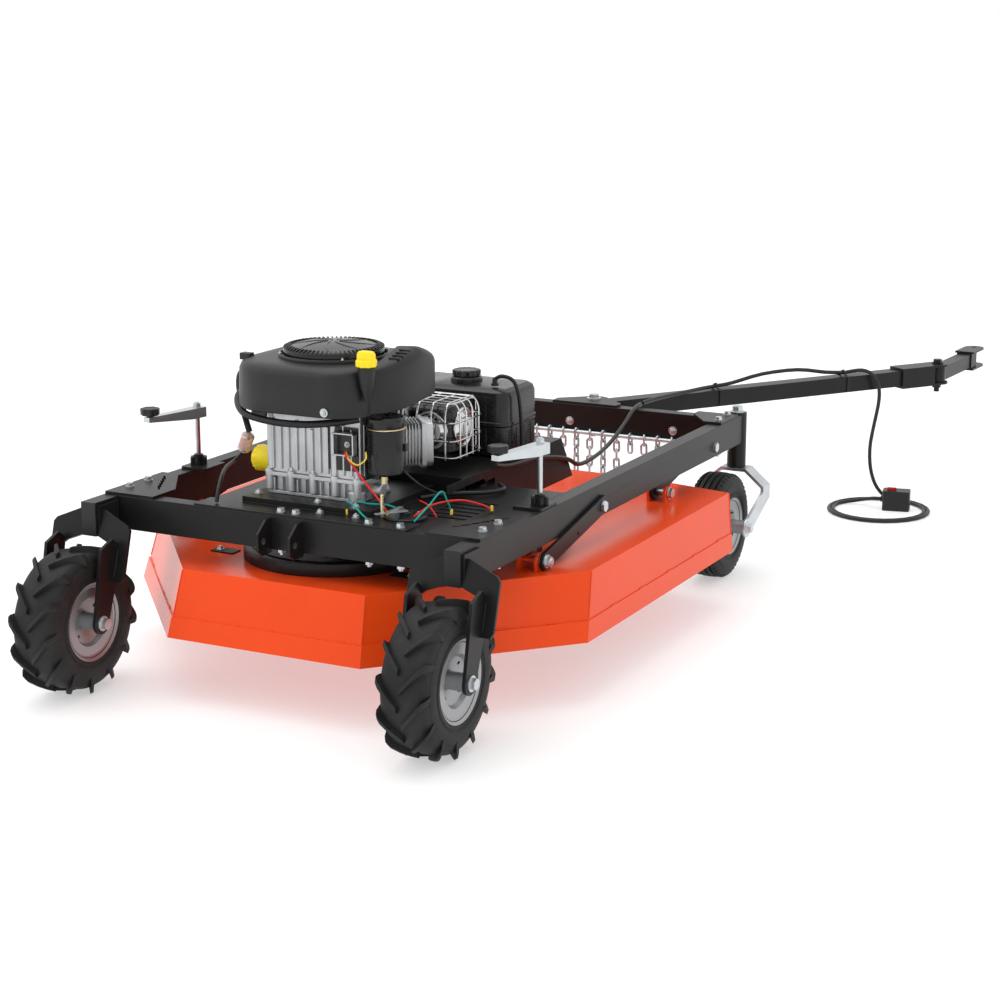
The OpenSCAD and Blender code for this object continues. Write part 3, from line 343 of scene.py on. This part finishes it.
tongue_route = [(190, 1574, 423), (200, 1640, 424), (222, 1752, 422), (250, 1865, 421), (268, 1915, 420.6),
                (300, 1960, 425), (360, 2045, 442), (430, 2146, 444), (486, 2230, 428),
                (527, 2292.3, 420.8)]
cord_line("tongue_cable_line", "tongue", catmull(tongue_route, 3), CABLE_R, HOSE, ("tongue_cable",))
ties = Mesh()
for tx, ty in ((268, 1915), (522.4, 2285.6)):
    t = Vector((0.5664, 0.8241, 0))
    n = Vector((0.8241, -0.5664, 0))
    for rail in (-2, 2):
        loop = [Vector((tx, ty, 390)) + t * rail + n * u + Vector((0, 0, w))
                for u, w in ((-27, -22), (-27, 22), (-10, 25), (-8, 35), (0, 39), (8, 35),
                             (10, 25), (27, 22), (27, -22))]
        ties.tube(loop, 1.6, 6, loop=True)
ties.make("tongue_cable_ties", "tongue", [GLOSS], slot="hose_rubber")

frame_route = [(258, 572, 456), (260, 640, 442), (262, 800, 430), (262, 940, 400), (262, 1010, 372),
               (252, 1120, 366), (232, 1260, 372), (212, 1400, 396), (200, 1480, 416), (192, 1530, 421),
               (188, 1566, 421)]
cord_line("frame_cable_line", "chassis", catmull(frame_route, 4), CABLE_R, HOSE, ("wiring_loom",))

# ---------------------------------------------------------------- finishes for the CAD pieces
by_slot = {"black_paint": BLACK, "orange_paint": ORANGE, "zinc": ZINC, "alloy": CAST, "rim_paint": RIM,
           "tread": TREAD, "hose_rubber": HOSE, "black_plastic": PLASTIC, "gloss_black": GLOSS,
           "red_plastic": RED, "yellow_part": YELLOW, "steel": STEEL}
softened = {"side_rails": 1.6, "cross_tubes": 1.6, "rear_forks": 0.8, "rear_links": 0.8,
            "front_links": 0.8, "deck_brackets": 0.8, "deck_shell": 1.2, "tank_stand": 0.7, "engine_plate": 1.0,
            "control_pod": 3.0, "pod_switch": 1.5, "caster_fork_left": 0.8, "caster_fork_right": 0.8,
            "lift_crank_left": 0.8, "lift_crank_right": 0.8, "battery": 2.0, "regulator": 0.5, "belt_cover": 1.0}
for part in frame["record"]["subparts"]:
    o = frame["nodes"][part["node"]]
    o.data.materials.clear()
    o.data.materials.append(by_slot[part["material_slot"]])
    width = softened.get(part["node"])
    if width:
        weld = o.modifiers.new("join", "WELD")
        weld.merge_threshold = 0.00001
        mod = o.modifiers.new("edges", "BEVEL")
        mod.width, mod.segments = width / 1000, 2
        mod.limit_method, mod.angle_limit = "ANGLE", math.radians(32)
        mod.harden_normals = True
        mod.use_clamp_overlap = True

# the pins and bolts of the links are plated, outside the thickness of the painted bars
for node, inner, outer_face in (("rear_links", 475.9, 484.1), ("front_links", 427.9, 436.1)):
    o = frame["nodes"][node]
    o.data.materials.append(ZINC)
    for face in o.data.polygons:
        across = abs((o.matrix_world @ face.center).x - ORIGIN_X) * 1000
        if not inner < across < outer_face:
            face.material_index = 1


# ---------------------------------------------------------------- tyres
def tyre(name, body, node, lugs):
    a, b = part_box(node)
    cx = (a.x + b.x) / 2 * 1000 - ORIGIN_X * 1000
    cy = (a.y + b.y) / 2 * 1000 - ORIGIN_Y * 1000
    cz = (a.z + b.z) / 2 * 1000
    half, big = (b.x - a.x) * 500, (b.z - a.z) * 500
    bead = big * (0.463 if lugs else 0.453)
    m = Mesh()
    depth = 11 if lugs else 0
    crown = big - depth
    prof = [(-half + 11, bead), (-half + 6, bead + 4), (-half + 5, bead + 9), (-half + 2, bead + 14),
            (-half + 0.6, (crown + bead) / 2 - 6), (-half + 0.2, (crown + bead) / 2 + 6), (-half + 2, crown - 26),
            (-half + 3.2, crown - 25), (-half + 5, crown - 16), (-half + 10, crown - 8), (-half + 18, crown - 3)]
    if lugs:
        mid = [(-half + 30, crown - 1), (0, crown)]
    else:
        mid = []
        for g in (-24, -8, 8, 24):
            drop = 2.5 if abs(g) > 20 else 1
            mid += [(g - 3, crown - drop), (g - 2, crown - drop - 5), (g + 2, crown - drop - 5), (g + 3, crown - drop)]
    full = prof + mid + [(-x, r) for x, r in reversed(prof)]
    m.lathe(full + [(half - 14, bead), (-half + 14, bead)], (cx, cy, cz), "x", 96, caps=False)
    if lugs:
        count = 13
        for s in (-1, 1):
            for i in range(count):
                start = TAU * (i + (0.5 if s > 0 else 0)) / count
                stations = [(half - 0.2, -0.03, big - 42, big - 30, 0.034),
                            (half - 0.3, 0.0, big - 32, big - 16, 0.040),
                            (half - 5, 0.03, big - 26, big - 5, 0.046), (half - 12, 0.08, big - 22, big - 1, 0.050),
                            (half * 0.52, 0.19, big - 16, big, 0.050), (half * 0.26, 0.29, big - 14, big, 0.050),
                            (3, 0.37, big - 14, big - 0.5, 0.052)]
                rings = []
                for x, turn, r0, r1, w in stations:
                    t = start + turn
                    ring = []
                    for dt, r in ((-w, r0), (w, r0), (w * 0.74, r1), (-w * 0.74, r1)):
                        ring.append((cx + s * x, cy + r * math.cos(t + dt), cz + r * math.sin(t + dt)))
                    rings.append(ring)
                m.rings(rings)
    else:
        for i in range(48):
            for s in (-1, 1):
                t = TAU * (i + 0.25 * s) / 48
                rings = []
                for x, r0, r1 in ((half - 8, crown - 14, crown - 7.5), (half - 16, crown - 9, crown - 2.2)):
                    rings.append([(cx + s * x, cy + r * math.cos(t + dt), cz + r * math.sin(t + dt))
                                  for dt, r in ((-0.035, r0), (0.035, r0), (0.03, r1), (-0.03, r1))])
                m.rings(rings)
    # raised rings on the sidewall
    for s in (-1, 1):
        for r in (bead + 20, bead + 24):
            m.lathe([(s * (half - 2.4), r), (s * (half - 0.4), r + 0.6), (s * (half - 0.4), r + 1.6),
                     (s * (half - 2.4), r + 2.2)],
                    (cx, cy, cz), "x", 96, caps=False)
    return m.make(name, body, [TREAD], (node,), "tread", bevel=1.0 if lugs else 0, segments=1)


for side in ("left", "right"):
    tyre(f"rear_tread_{side}", f"rear_wheel_{side}", f"rear_tyre_{side}", True)
    tyre(f"caster_tread_{side}", f"caster_wheel_{side}", f"caster_tyre_{side}", False)

# ---------------------------------------------------------------- guard chains
LINK_R, LINK_LONG, LINK_HALF = 3.2, 15.2, 7.4
chains = Mesh()
chains.tube([(x, 1500, 342) for x in (-330, -110, 110, 330)], 6, 16)
for c in range(16):
    x0 = -292 + 40 * c
    for i in range(2 if abs(x0) > 175 else 6):
        zc = 336.5 - 23.8 * i
        loop = []
        for k in range(16):
            t = TAU * k / 16
            stretch = LINK_LONG - LINK_HALF
            w, h = LINK_HALF * math.cos(t), LINK_HALF * math.sin(t) + (stretch if math.sin(t) > 0 else -stretch)
            tilt = 0.35 if c % 2 else -0.3
            if i % 2:
                u, v = w * math.cos(tilt), w * math.sin(tilt)
            else:
                u, v = -w * math.sin(tilt), w * math.cos(tilt)
            loop.append((x0 + u, 1500 + v * 0.85, zc + h * 1.0))
        chains.tube(loop, LINK_R, 8, loop=True)
chains.make("guard_chain_links", "chain_guard", [ZINC], ("guard_chains",), "zinc")

# ---------------------------------------------------------------- engine housing
def stacked(levels, m_index=0, mesh=None):
    """A closed skin through rounded rectangles: (z, x0, x1, y0, y1, four radii)."""
    mesh = mesh or Mesh()
    mesh.rings([[(x, y, z) for x, y in rounded(x0, x1, y0, y1, r, 8)] for z, x0, x1, y0, y1, r in levels], m_index)
    return mesh


def skirt(levels, mesh):
    """The same with an open bottom."""
    mesh.rings([[(x, y, z) for x, y in rounded(x0, x1, y0, y1, r, 8)] for z, x0, x1, y0, y1, r in levels], 0, False)


housing = Mesh()
outer = [(628, -188, 150, 124, 470, [118, 74, 60, 80]), (632, -190, 150, 122, 470, [120, 76, 60, 80]),
         (672, -189, 150, 122.5, 470, [120, 76, 60, 80]), (712, -187, 149, 124, 468, [118, 76, 60, 78]),
         (722, -183, 146, 129, 464, [114, 74, 58, 76]), (728, -175, 140, 137, 458, [106, 70, 52, 70]),
         (731, -161, 130, 152, 446, [96, 64, 44, 60]), (732, -140, 120, 172, 430, [90, 60, 40, 50]),
         (732.5, -104, 104, 196, 404, [103, 103, 103, 103]), (720, -100, 100, 200, 400, [99, 99, 99, 99])]
skirt(outer, housing)
inner = [(628, -184, 146, 128, 466, [114, 72, 56, 76]), (712, -183, 145, 128, 464, [114, 72, 56, 74]),
         (716, -100, 100, 200, 400, [99, 99, 99, 99])]
skirt(inner, housing)
skirt([(628, -188, 150, 124, 470, [118, 74, 60, 80]), (628, -184, 146, 128, 466, [114, 72, 56, 76])], housing)
# collar around the screen
housing.lathe([(726, 122), (736, 122), (740, 119.5), (740, 117), (722, 116.5)], (0, 300, 0), "z", 96, caps=False)
# oil filler neck, a funnel down the wall
housing.lathe([(662, 6), (676, 9), (700, 16), (722, 18.5), (736, 19), (738, 17.5)], (158, 172, 0), "z", 32)
# clip on the far rear corner
housing.box(-186, -160, 206, 226, 722, 737)
housing.make("engine_housing", "chassis", [PLASTIC], ("blower_housing",), "black_plastic", bevel=1.2)
screws = Mesh()
screws.bolt((82, 122, 641), "y", 7, 5, sign=-1)
for k in range(4):
    screws.bolt((*polar((0, 300), math.radians(40 + 90 * k), 119), 740), "z", 3, 2.2)
screws.make("housing_screws", "chassis", [ZINC], slot="zinc")

# air cleaner cover: carries the housing's wall on round the corner and rises to a ridge
cleaner = Mesh()
sections = [(196, 150, 630, 724, 10), (206, 164, 630, 727, 12), (224, 178, 630, 732, 13), (250, 190, 632, 738, 14),
            (290, 199, 636, 748, 15), (330, 202, 641, 760, 16), (350, 202, 643, 758, 16), (380, 202, 646, 748, 16),
            (397, 199, 648, 741, 15), (405, 190, 651, 735, 12)]
rings = []
for y, x1, z0, z1, c in sections:
    rings.append([(142, y, z0), (x1 - 4, y, z0), (x1 - 1, y, z0 + 1.5), (x1, y, z0 + 5), (x1, y, z1 - c * 1.5),
                  (x1 - 1.5, y, z1 - c * 0.9), (x1 - c * 0.5, y, z1 - c * 0.35), (x1 - c, y, z1 - 1),
                  (x1 - c * 1.6, y, z1), (142, y, z1 - 2)])
cleaner.rings(rings)
for k in range(4):
    y = 262 + 15 * k
    cleaner.rings([[(160 + u, y + v, 738 + (y - 250) * 0.26 + w) for u, v, w in
                    ((0, 0, 0), (26, 3, -1), (26, 6, -1), (0, 3, 0))],
                   [(160 + u, y + v, 741.5 + (y - 250) * 0.26 + w) for u, v, w in
                    ((0, 0, 0), (26, 3, -1), (26, 6, -1), (0, 3, 0))]])
cleaner.make("air_cleaner_cover", "chassis", [PLASTIC], ("air_cleaner",), "black_plastic", bevel=0.8)

# rotating screen: ribbed dome in a slotted rim
screen = Mesh()
screen.lathe([(714, 106), (738, 111), (748, 112), (752, 110), (754, 105), (754.5, 98), (758, 76), (761.5, 46),
              (763.5, 20), (764, 0)], (0, 300, 0), "z", 96)
for k in range(64):
    t = TAU * k / 64
    a, b = t - 0.014, t + 0.014
    rings = []
    for r, z0, z1 in ((94, 752, 758), (104, 750, 757.5), (111, 740, 754)):
        rings.append([(*polar((0, 300), a, r), z0), (*polar((0, 300), b, r), z0),
                      (*polar((0, 300), b, r), z1), (*polar((0, 300), a, r), z1)])
    screen.rings(rings)
for k in range(8):
    arc = []
    for i in range(8):
        r = 14 + 11 * i
        t = TAU * k / 8 + 0.06 * i
        arc.append((*polar((0, 300), t, r), 763.4 - 0.0011 * r * r))
    screen.tube(arc, 2.0, 6)
screen.make("screen_dome", "engine_rotor", [GLOSS], ("rotating_screen",), "black_plastic", bevel=0)

# ---------------------------------------------------------------- crankcase, heads and fittings
case = Mesh()
plan = [(-118, 210), (-112, 204), (112, 204), (118, 210), (118, 330), (60, 405), (-60, 405), (-118, 330)]
flange = [(-126, 208), (-118, 197), (118, 197), (126, 208), (126, 334), (64, 412), (-64, 412), (-126, 334)]
case.prism(plan, 480, 622)
case.prism(flange, 471, 480)
case.prism([(x * 0.95, 300 + (y - 300) * 0.95) for x, y in plan], 438, 471)
case.prism([(x * 1.02, 300 + (y - 300) * 1.02) for x, y in plan], 430.2, 438)
for k in range(11):
    x = -100 + 20 * k
    wide = 5 if k in (3, 4, 5, 6) else 3.2
    case.prism([(x - wide, 206), (x + wide, 206), (x + wide * 0.6, 198.5),
                (x - wide * 0.6, 198.5)], 488, 600 - (k % 3) * 8)
    case.prism([(x - 2.5, 206), (x + 2.5, 206), (x + 2, 200), (x - 2, 200)], 438, 468)
for k in range(6):
    y = 222 + 18 * k
    case.prism([(116, y), (119.6, y + 1), (119.6, y + 6), (116, y + 7)], 486, 600)
    case.prism([(-123, y + 1), (-116, y), (-116, y + 7), (-123, y + 6)], 486, 600)
for x in (-112, -56, 0, 56, 112):
    case.lathe([(440, 9), (471, 9.5), (482, 10), (486, 8)], (x, 203, 0), "z", 20)
case.lathe([(430.2, 20), (452, 20), (456, 17)], (104, 214, 0), "z", 28)
case.lathe([(0, 17), (22, 17), (24, 14)], (126, 250, 452), "x", 28)
case.lathe([(486, 9), (600, 9), (612, 7)], (-108, 206, 0), "z", 20)
case.lathe([(486, 8), (600, 8), (612, 6)], (54, 205, 0), "z", 20)
case.make("crankcase_casting", "chassis", [CAST], ("crankcase",), "alloy", bevel=1.6)
studs = Mesh()
for x in (-112, -56, 0, 56, 112):
    studs.bolt((x, 203, 486), "z", 5.5, 5)
for x, y in ((-132, 186), (30, 172), (128, 168), (150, 132), (60, 132)):
    studs.bolt((x, y, 430 if y > 150 else 418), "z", 7, 7)
studs.make("engine_bolts", "chassis", [ZINC], slot="zinc")

heads = Mesh()
for s in (-1, 1):
    turn = Matrix.Rotation(math.radians(-s * 52), 3, "Z")

    def at(x, y, z, turn=turn):
        p = turn @ Vector((x, y, 0))
        return (p.x, p.y + 300, z)

    def slab(x, y0, y1, z0, z1, r=8, at=at):
        heads.rings([[at(u, v, z) for u, z in rounded(-x, x, z0, z1, r, 4)] for v in (y0, y1)])
    for k in range(9):
        slab(46, 122 + 7 * k, 125 + 7 * k, 482, 580)
    slab(36, 113.5, 186, 488, 574, 14)
    slab(49, 186, 196, 478.5, 583.5, 10)
    slab(45, 196, 212, 482, 580, 14)
heads.make("cylinder_castings", "chassis", [CAST], ("cylinder_heads",), "alloy", bevel=0.8, segments=1)

starter = Mesh()
starter.lathe([(494, 34), (497, 41), (590, 41), (592, 40)], (161, 246, 0), "z", 48)
starter.lathe([(596, 40), (598, 41), (617, 41), (620, 38)], (161, 246, 0), "z", 48)
starter.lathe([(592, 40.2), (596, 40.2)], (161, 246, 0), "z", 48, 1)
starter.tube([(161 + 41 * math.cos(TAU * k / 48), 246 + 41 * math.sin(TAU * k / 48), 594) for k in range(48)],
             1.8, 8, 1, loop=True)
starter.box(118.6, 150, 232, 260, 480, 505)
starter.box(200, 207, 250, 262, 545, 562)
starter.lathe([(478, 8), (494, 8)], (174, 214, 0), "z", 16, 1)
starter.make("starter_can", "chassis", [GLOSS, GOLD_ZINC], ("starter_motor",), "gloss_black", bevel=0.6)

reg = Mesh()
reg.box(66, 118, 194, 199.6, 537, 587, 0)
for x0, x1, z0, z1 in ((66, 118, 537, 540), (66, 118, 584, 587), (66, 69, 537, 587), (115, 118, 537, 587)):
    reg.box(x0, x1, 178, 196, z0, z1, 1)
reg.bolt((94, 194, 560), "y", 5, 5, m=1, sign=-1)
reg.box(44, 117.5, 199.7, 203.4, 500, 596, 0)
reg.make("regulator_box", "chassis", [GLOSS, CAST], ("regulator",), "alloy", bevel=0.7)

oil = Mesh()
oil.lathe([(-212, 18), (-211, 23), (-205, 28), (-198, 30), (-150, 30), (-144, 28),
           (-141, 24), (-140, 19), (-126.5, 18)],
          (0, 300, 482), "x", 48)
for k in range(15):
    t = TAU * k / 15
    oil.tube([(-207, 300 + 27 * math.cos(t), 482 + 27 * math.sin(t)),
              (-196, 300 + 29.6 * math.cos(t), 482 + 29.6 * math.sin(t))],
             1.6, 6)
oil.make("oil_filter_can", "chassis", [YELLOW], ("oil_filter",), "yellow_part")

carb = Mesh()
stacked([(500, -30, 30, 406, 460, [6] * 4), (503, -32, 32, 405.6, 462, [7] * 4), (563, -32, 32, 405.6, 462, [7] * 4),
         (566, -30, 30, 406, 460, [6] * 4)], mesh=carb)
carb.lathe([(565, 20), (588, 20), (590, 18)], (0, 446, 0), "z", 32)
stacked([(572, -204, -161, 269, 317, [8] * 4), (575, -205, -160, 268, 318, [9] * 4),
         (594, -205, -160, 268, 318, [9] * 4),
         (595, -202, -163, 271, 315, [8] * 4), (599, -202, -163, 271, 315, [8] * 4),
         (600, -205, -160, 268, 318, [9] * 4),
         (615, -205, -160, 268, 318, [9] * 4), (618, -203, -162, 270, 316, [8] * 4)], mesh=carb)
carb.box(-168, -118.6, 288, 296, 520, 617, 1)
for x, y in ((-200, 273), (-165, 273), (-200, 313), (-165, 313)):
    carb.bolt((x, y, 618), "z", 3, 2.6, m=1)
carb.make("fuel_pump_and_carburettor", "chassis", [GLOSS, ZINC], ("carburettor",), "black_plastic", bevel=0.8)

# hoses round the engine
hoses = Mesh()
hoses.tube(catmull([(-198, 268, 664), (-203, 240, 650), (-190, 200, 632), (-142, 156, 614), (-60, 140, 606),
                    (20, 146, 606), (84, 170, 612), (124, 196, 618)], 6), 8, 12)
hoses.tube(catmull([(-196, 262, 690), (-208, 244, 682), (-208, 238, 650), (-204, 250, 616)], 6), 9, 12)
hoses.tube(catmull([(196, 690, 632), (214, 690, 640), (240, 694, 632), (252, 700, 600),
                    (255, 708, 540), (256, 712, 470)], 5),
           4.5, 10)
hoses.tube(catmull([(-226, 296, 540), (-230, 290, 566), (-226, 272, 602), (-208, 256, 640)], 5), 7, 10)
hoses.tube(catmull([(-247, 295, 487), (-252, 268, 474), (-230, 204, 474), (-204, 150, 467), (-191, 118, 446),
                    (-189, 105, 421)], 5), 4.5, 10)
hoses.tube(catmull([(196, 330, 424), (240, 400, 424), (300, 440, 424), (320, 490, 424), (290, 530, 424)], 5), 5, 10)
hoses.lathe([(616.4, 9), (622, 9), (623, 6), (634, 6)], (196, 690, 0), "z", 20)
# fuel filter bowl between its two end caps
tilt = [(-246 + 0.375 * k, 296, 490 + 0.927 * k) for k in (0, 4, 8, 12, 40, 44, 48, 52)]
hoses.tube(tilt, [5, 12, 15, 15, 15, 15, 12, 5], 24, 1)
hoses.tube([tilt[2], tilt[3]], 15.4, 24, 2)
hoses.tube([tilt[4], tilt[5]], 15.4, 24, 2)
hoses.make("engine_hose_set", "chassis", [HOSE, PINK, ZINC], ("engine_hoses",), "hose_rubber")

# loose wires, control lever and its disc on the engine plate
loom = Mesh()
loom.tube(catmull([(96, 184, 548), (104, 172, 540), (138, 172, 500), (184, 172, 452), (206, 172, 424)], 6), 2.2, 8, 0)
loom.tube(catmull([(98, 182, 546), (112, 170, 534), (134, 168, 524), (150, 176, 536), (146, 184, 550)], 6), 1.8, 8, 2)
loom.tube(catmull([(118, 150, 446), (140, 138, 444), (168, 128, 428), (196, 112, 420)], 6), 1.9, 8, 1)
loom.tube(catmull([(128, 168, 444), (160, 176, 440), (196, 184, 440), (220, 196, 430)], 6), 1.9, 8, 1)
loom.tube(catmull([(282, 150, 420), (296, 190, 448), (306, 226, 472), (312, 240, 452), (318, 250, 424)], 6), 1.9, 8, 1)
loom.tube(catmull([(262, 184, 421), (292, 214, 444), (330, 262, 448), (362, 300, 434), (380, 318, 420)], 6), 2.2, 8, 0)
loom.tube(catmull([(240, 250, 440), (262, 246, 434), (284, 232, 424), (300, 216, 417)], 6), 1.6, 8, 0)
loom.tube(catmull([(182, 262, 512), (204, 250, 500), (238, 262, 470), (262, 300, 446)], 6), 2.4, 8, 3)
loom.tube([(240 + 46 * math.cos(TAU * k / 40), 186 + 46 * math.sin(TAU * k / 40), 420)
           for k in range(40)], 2, 8, 3, loop=True)
for x, y in ((206, 172), (118, 150), (380, 318), (318, 250)):
    loom.lathe([(418, 3.4), (428, 3.4), (430, 2)], (x, y, 0), "z", 12, 2)
loom.make("loose_wires", "chassis", [WIRE_RED, WIRE_GREEN, WIRE_YELLOW, HOSE], slot="hose_rubber")
lever = Mesh()
lever.lathe([(414.2, 44), (420, 44), (422, 42), (422, 12), (428, 12), (430, 9)], (240, 186, 0), "z", 56)
lever.prism([(196, 130), (206, 126), (250, 182), (242, 190), (232, 186)], 431, 433.5, m=1)
lever.prism([(216, 158), (226, 156), (228, 200), (218, 202)], 434, 436, m=1)
lever.lathe([(422, 4), (470, 4), (472, 2.5)], (206, 148, 0), "z", 12, 2)
for x, y in ((262, 204), (222, 210)):
    lever.bolt((x, y, 422), "z", 4, 4, m=1)
lever.make("control_lever", "chassis", [GLOSS, ZINC, GOLD_ZINC], slot="gloss_black", bevel=0.5)

# ---------------------------------------------------------------- muffler in its cage
cage = Mesh()


def flat_loop(z, r=18):
    return [(x, y, z) for x, y in rounded(44, 200, 480, 627, r, 5)]


for z in (482, 520, 562):
    cage.tube(flat_loop(z), 2.2, 8, loop=True)
cage.tube([(x, y, 603) for x, y in rounded(58, 186, 494, 613, 14, 5)], 2.2, 8, loop=True)
for x in (70, 106, 142, 178):
    cage.tube(catmull([(x, 480, 478), (x, 480, 552), (x, 481, 584), (x, 492, 602), (x, 512, 605), (x, 596, 605),
                       (x, 615, 602), (x, 626, 584), (x, 627, 478)], 4), 2.1, 8)
for y in (510, 540, 570, 600):
    cage.tube(catmull([(44, y, 478), (44, y, 552), (45, y, 584), (56, y, 602),
                       (74, y, 605), (170, y, 605), (188, y, 602),
                       (199, y, 584), (200, y, 552), (200, y, 478)], 4), 2.1, 8)
cage.make("muffler_cage", "chassis", [CHROME], ("muffler_guard",), "zinc")
can = Mesh()
stacked([(488, 66, 178, 498, 609, [20] * 4), (492, 60, 184, 492, 615, [26] * 4), (582, 60, 184, 492, 615, [26] * 4),
         (592, 68, 176, 500, 607, [22] * 4), (596, 78, 166, 510, 597, [18] * 4)], mesh=can)
can.lathe([(492.5, 44), (488, 44), (487.5, 40), (490, 36), (488, 32), (485.5, 28), (485.5, 14), (488, 12), (488, 0)],
          (134, 0, 540), "y", 48, 1)
can.lathe([(183.5, 46), (188, 46), (188.5, 42), (186, 38), (188, 34), (191.5, 29), (191.5, 14), (188, 12), (188, 0)],
          (0, 553, 542), "x", 48, 1)
can.lathe([(470, 15), (492.5, 15)], (90, 0, 520), "y", 28, 1)
can.make("muffler_can", "chassis", [GLOSS, CHROME], ("muffler",), "black_paint", bevel=1.0)

# ---------------------------------------------------------------- tank
tank = Mesh()
r4 = [28] * 4
stacked([(452, -46, 231, 663, 823, [22] * 4), (456, -52, 237, 657, 829, [26] * 4), (470, -55, 240, 654, 832, r4),
         (524, -55, 240, 654, 832, r4), (526, -57, 242, 652, 834, [30] * 4), (534, -57, 242, 652, 834, [30] * 4),
         (536, -55, 240, 654, 832, r4), (592, -55, 240, 654, 832, r4), (604, -51, 236, 658, 828, [26] * 4),
         (611, -40, 225, 669, 817, [20] * 4), (612, 20, 180, 690, 790, [20] * 4), (615, 40, 160, 700, 780, [20] * 4)],
        mesh=tank)
tank.lathe([(612, 38), (622, 38), (626, 35), (626, 30)], (100, 730, 0), "z", 48)
for k in range(4):
    tank.box(241.2 - 2.4, 241.2, 676 + 38 * k, 694 + 38 * k, 470, 518)
    tank.box(-30 + 64 * k, 0 + 64 * k, 652.8, 656, 470, 518)
tank.make("fuel_tank_body", "chassis", [GLOSS], ("fuel_tank",), "black_plastic", bevel=2.0, segments=3)


def knurled(centre, z0, z1, r, lobes, depth):
    m = Mesh()
    n = lobes * 6
    prof = [(z0, 0.90), (z0 + 1.5, 0.98), (z1 - 3, 1.0), (z1 - 1, 0.95), (z1, 0.80), (z1 - 1.5, 0.62), (z1 - 1.5, 0.0)]
    m.rings([[(*polar(centre, TAU * k / n, max(0.02, q) * (r - depth * (0.5 - 0.5 * math.cos(lobes * TAU * k / n)))), z)
              for k in range(n)] for z, q in prof])
    return m


knurled((100, 730), 626.3, 642, 34, 14, 4).make("fuel_cap_top", "fuel_filler", [GLOSS], ("fuel_cap",), "black_plastic")
fill = knurled((158, 172), 738.3, 754, 23.8, 8, 3)
fill.rings([[(158 + u, 172 + v, z) for u, v in rounded(-21 * q, 21 * q, -10 * q, 10 * q, 7 * q, 4)]
            for z, q in ((750, 1.0), (765, 0.96), (770.5, 0.8), (772, 0.5))])
fill.make("oil_cap_top", "oil_filler", [YELLOW], ("oil_cap",), "yellow_part", bevel=1.0)

for side in ("left", "right"):
    a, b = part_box(f"crank_knob_{side}")
    cx, cy = (a.x + b.x) * 500 - ORIGIN_X * 1000, (a.y + b.y) * 500 - ORIGIN_Y * 1000
    z0, z1 = a.z * 1000, b.z * 1000
    k = knurled((cx, cy), z0 + 4, z1 - 3, 23, 7, 2.5)
    k.lathe([(z0, 8.5), (z0 + 4, 9)], (cx, cy, 0), "z", 20)
    k.make(f"knob_{side}_grip", f"knob_{side}", [PLASTIC], (f"crank_knob_{side}",), "gloss_black", bevel=0.8)

# ---------------------------------------------------------------- welds and small hardware
beads = Mesh()


def bead(a, b, r=2.4, step=4.0):
    a, b = Vector(a), Vector(b)
    n = max(3, int((b - a).length / step))
    pts, rs = [], []
    for i in range(n * 3 + 1):
        t = i / (n * 3)
        p = a.lerp(b, t)
        pts.append((p.x, p.y, p.z))
        rs.append(r * (0.8 + 0.25 * abs(math.sin(math.pi * t * n))) * (0.35 if i in (0, n * 3) else 1))
    beads.tube(pts, rs, 8)


def deck_corner(x, y, out, back, z):
    k = (283 - z) / 146
    return (x + out * k, y - back * k, z)


for s in (-1, 1):
    for x, y, out, back in ((231, 30, 11.2, 45), (571, 422, 16, 54), (571, 1245, 16, 13.5)):
        p, q = deck_corner(x, y, out, back, 281), deck_corner(x, y, out, back, 186)
        bead((s * p[0], p[1], p[2]), (s * q[0], q[1], q[2]), 1.6)
    for k in range(5):
        y = 500 + 160 * k
        bead((s * 583.4, y, 183), (s * 583.4, y + 26, 183), 1.8)
    for k in range(4):
        t0 = 0.12 + 0.23 * k
        ax, ay, bx, by = 239.0, -1.4, 582.4, 385
        bead((s * (ax + (bx - ax) * t0), ay + (by - ay) * t0, 183.5),
             (s * (ax + (bx - ax) * (t0 + 0.05)), ay + (by - ay) * (t0 + 0.05), 183.5), 2.0)
for k in range(5):
    x = -180 + 88 * k
    bead((x, -1.8, 183), (x + 26, -1.8, 183), 1.8)
beads.make("deck_weld_beads", "deck", [ORANGE], slot="orange_paint")
beads = Mesh()
for s in (-1, 1):
    for q in (-1, 1):
        x = s * 456 + q * 19.5
        bead((x, 18, 386), (x, 4, 346), 2.6)
        bead((s * 456 + q * 79, -24, 258), (s * 456 + q * 79, -6, 318), 2.4)
beads.make("fork_weld_beads", "chassis", [BLACK], slot="black_paint")

studs = Mesh()
for x in (0, 304):
    studs.bolt((x, 1517, 367), "y", 9, 8, sign=-1)
studs.make("front_tube_bolts", "chassis", [ZINC], slot="zinc")

cover = Mesh()
for x, y in ((-246, 196), (-246, 400), (246, 196), (246, 400)):
    cover.bolt((x, y, 286), "z", 6.5, 6)
cover.lathe([(312, 190), (312.1, 193), (314, 193.6), (314.1, 190.4)], (0, 300, 0), "z", 96, 1, caps=False)
cover.make("belt_cover_bolts", "deck", [ZINC, BLACK], slot="zinc")
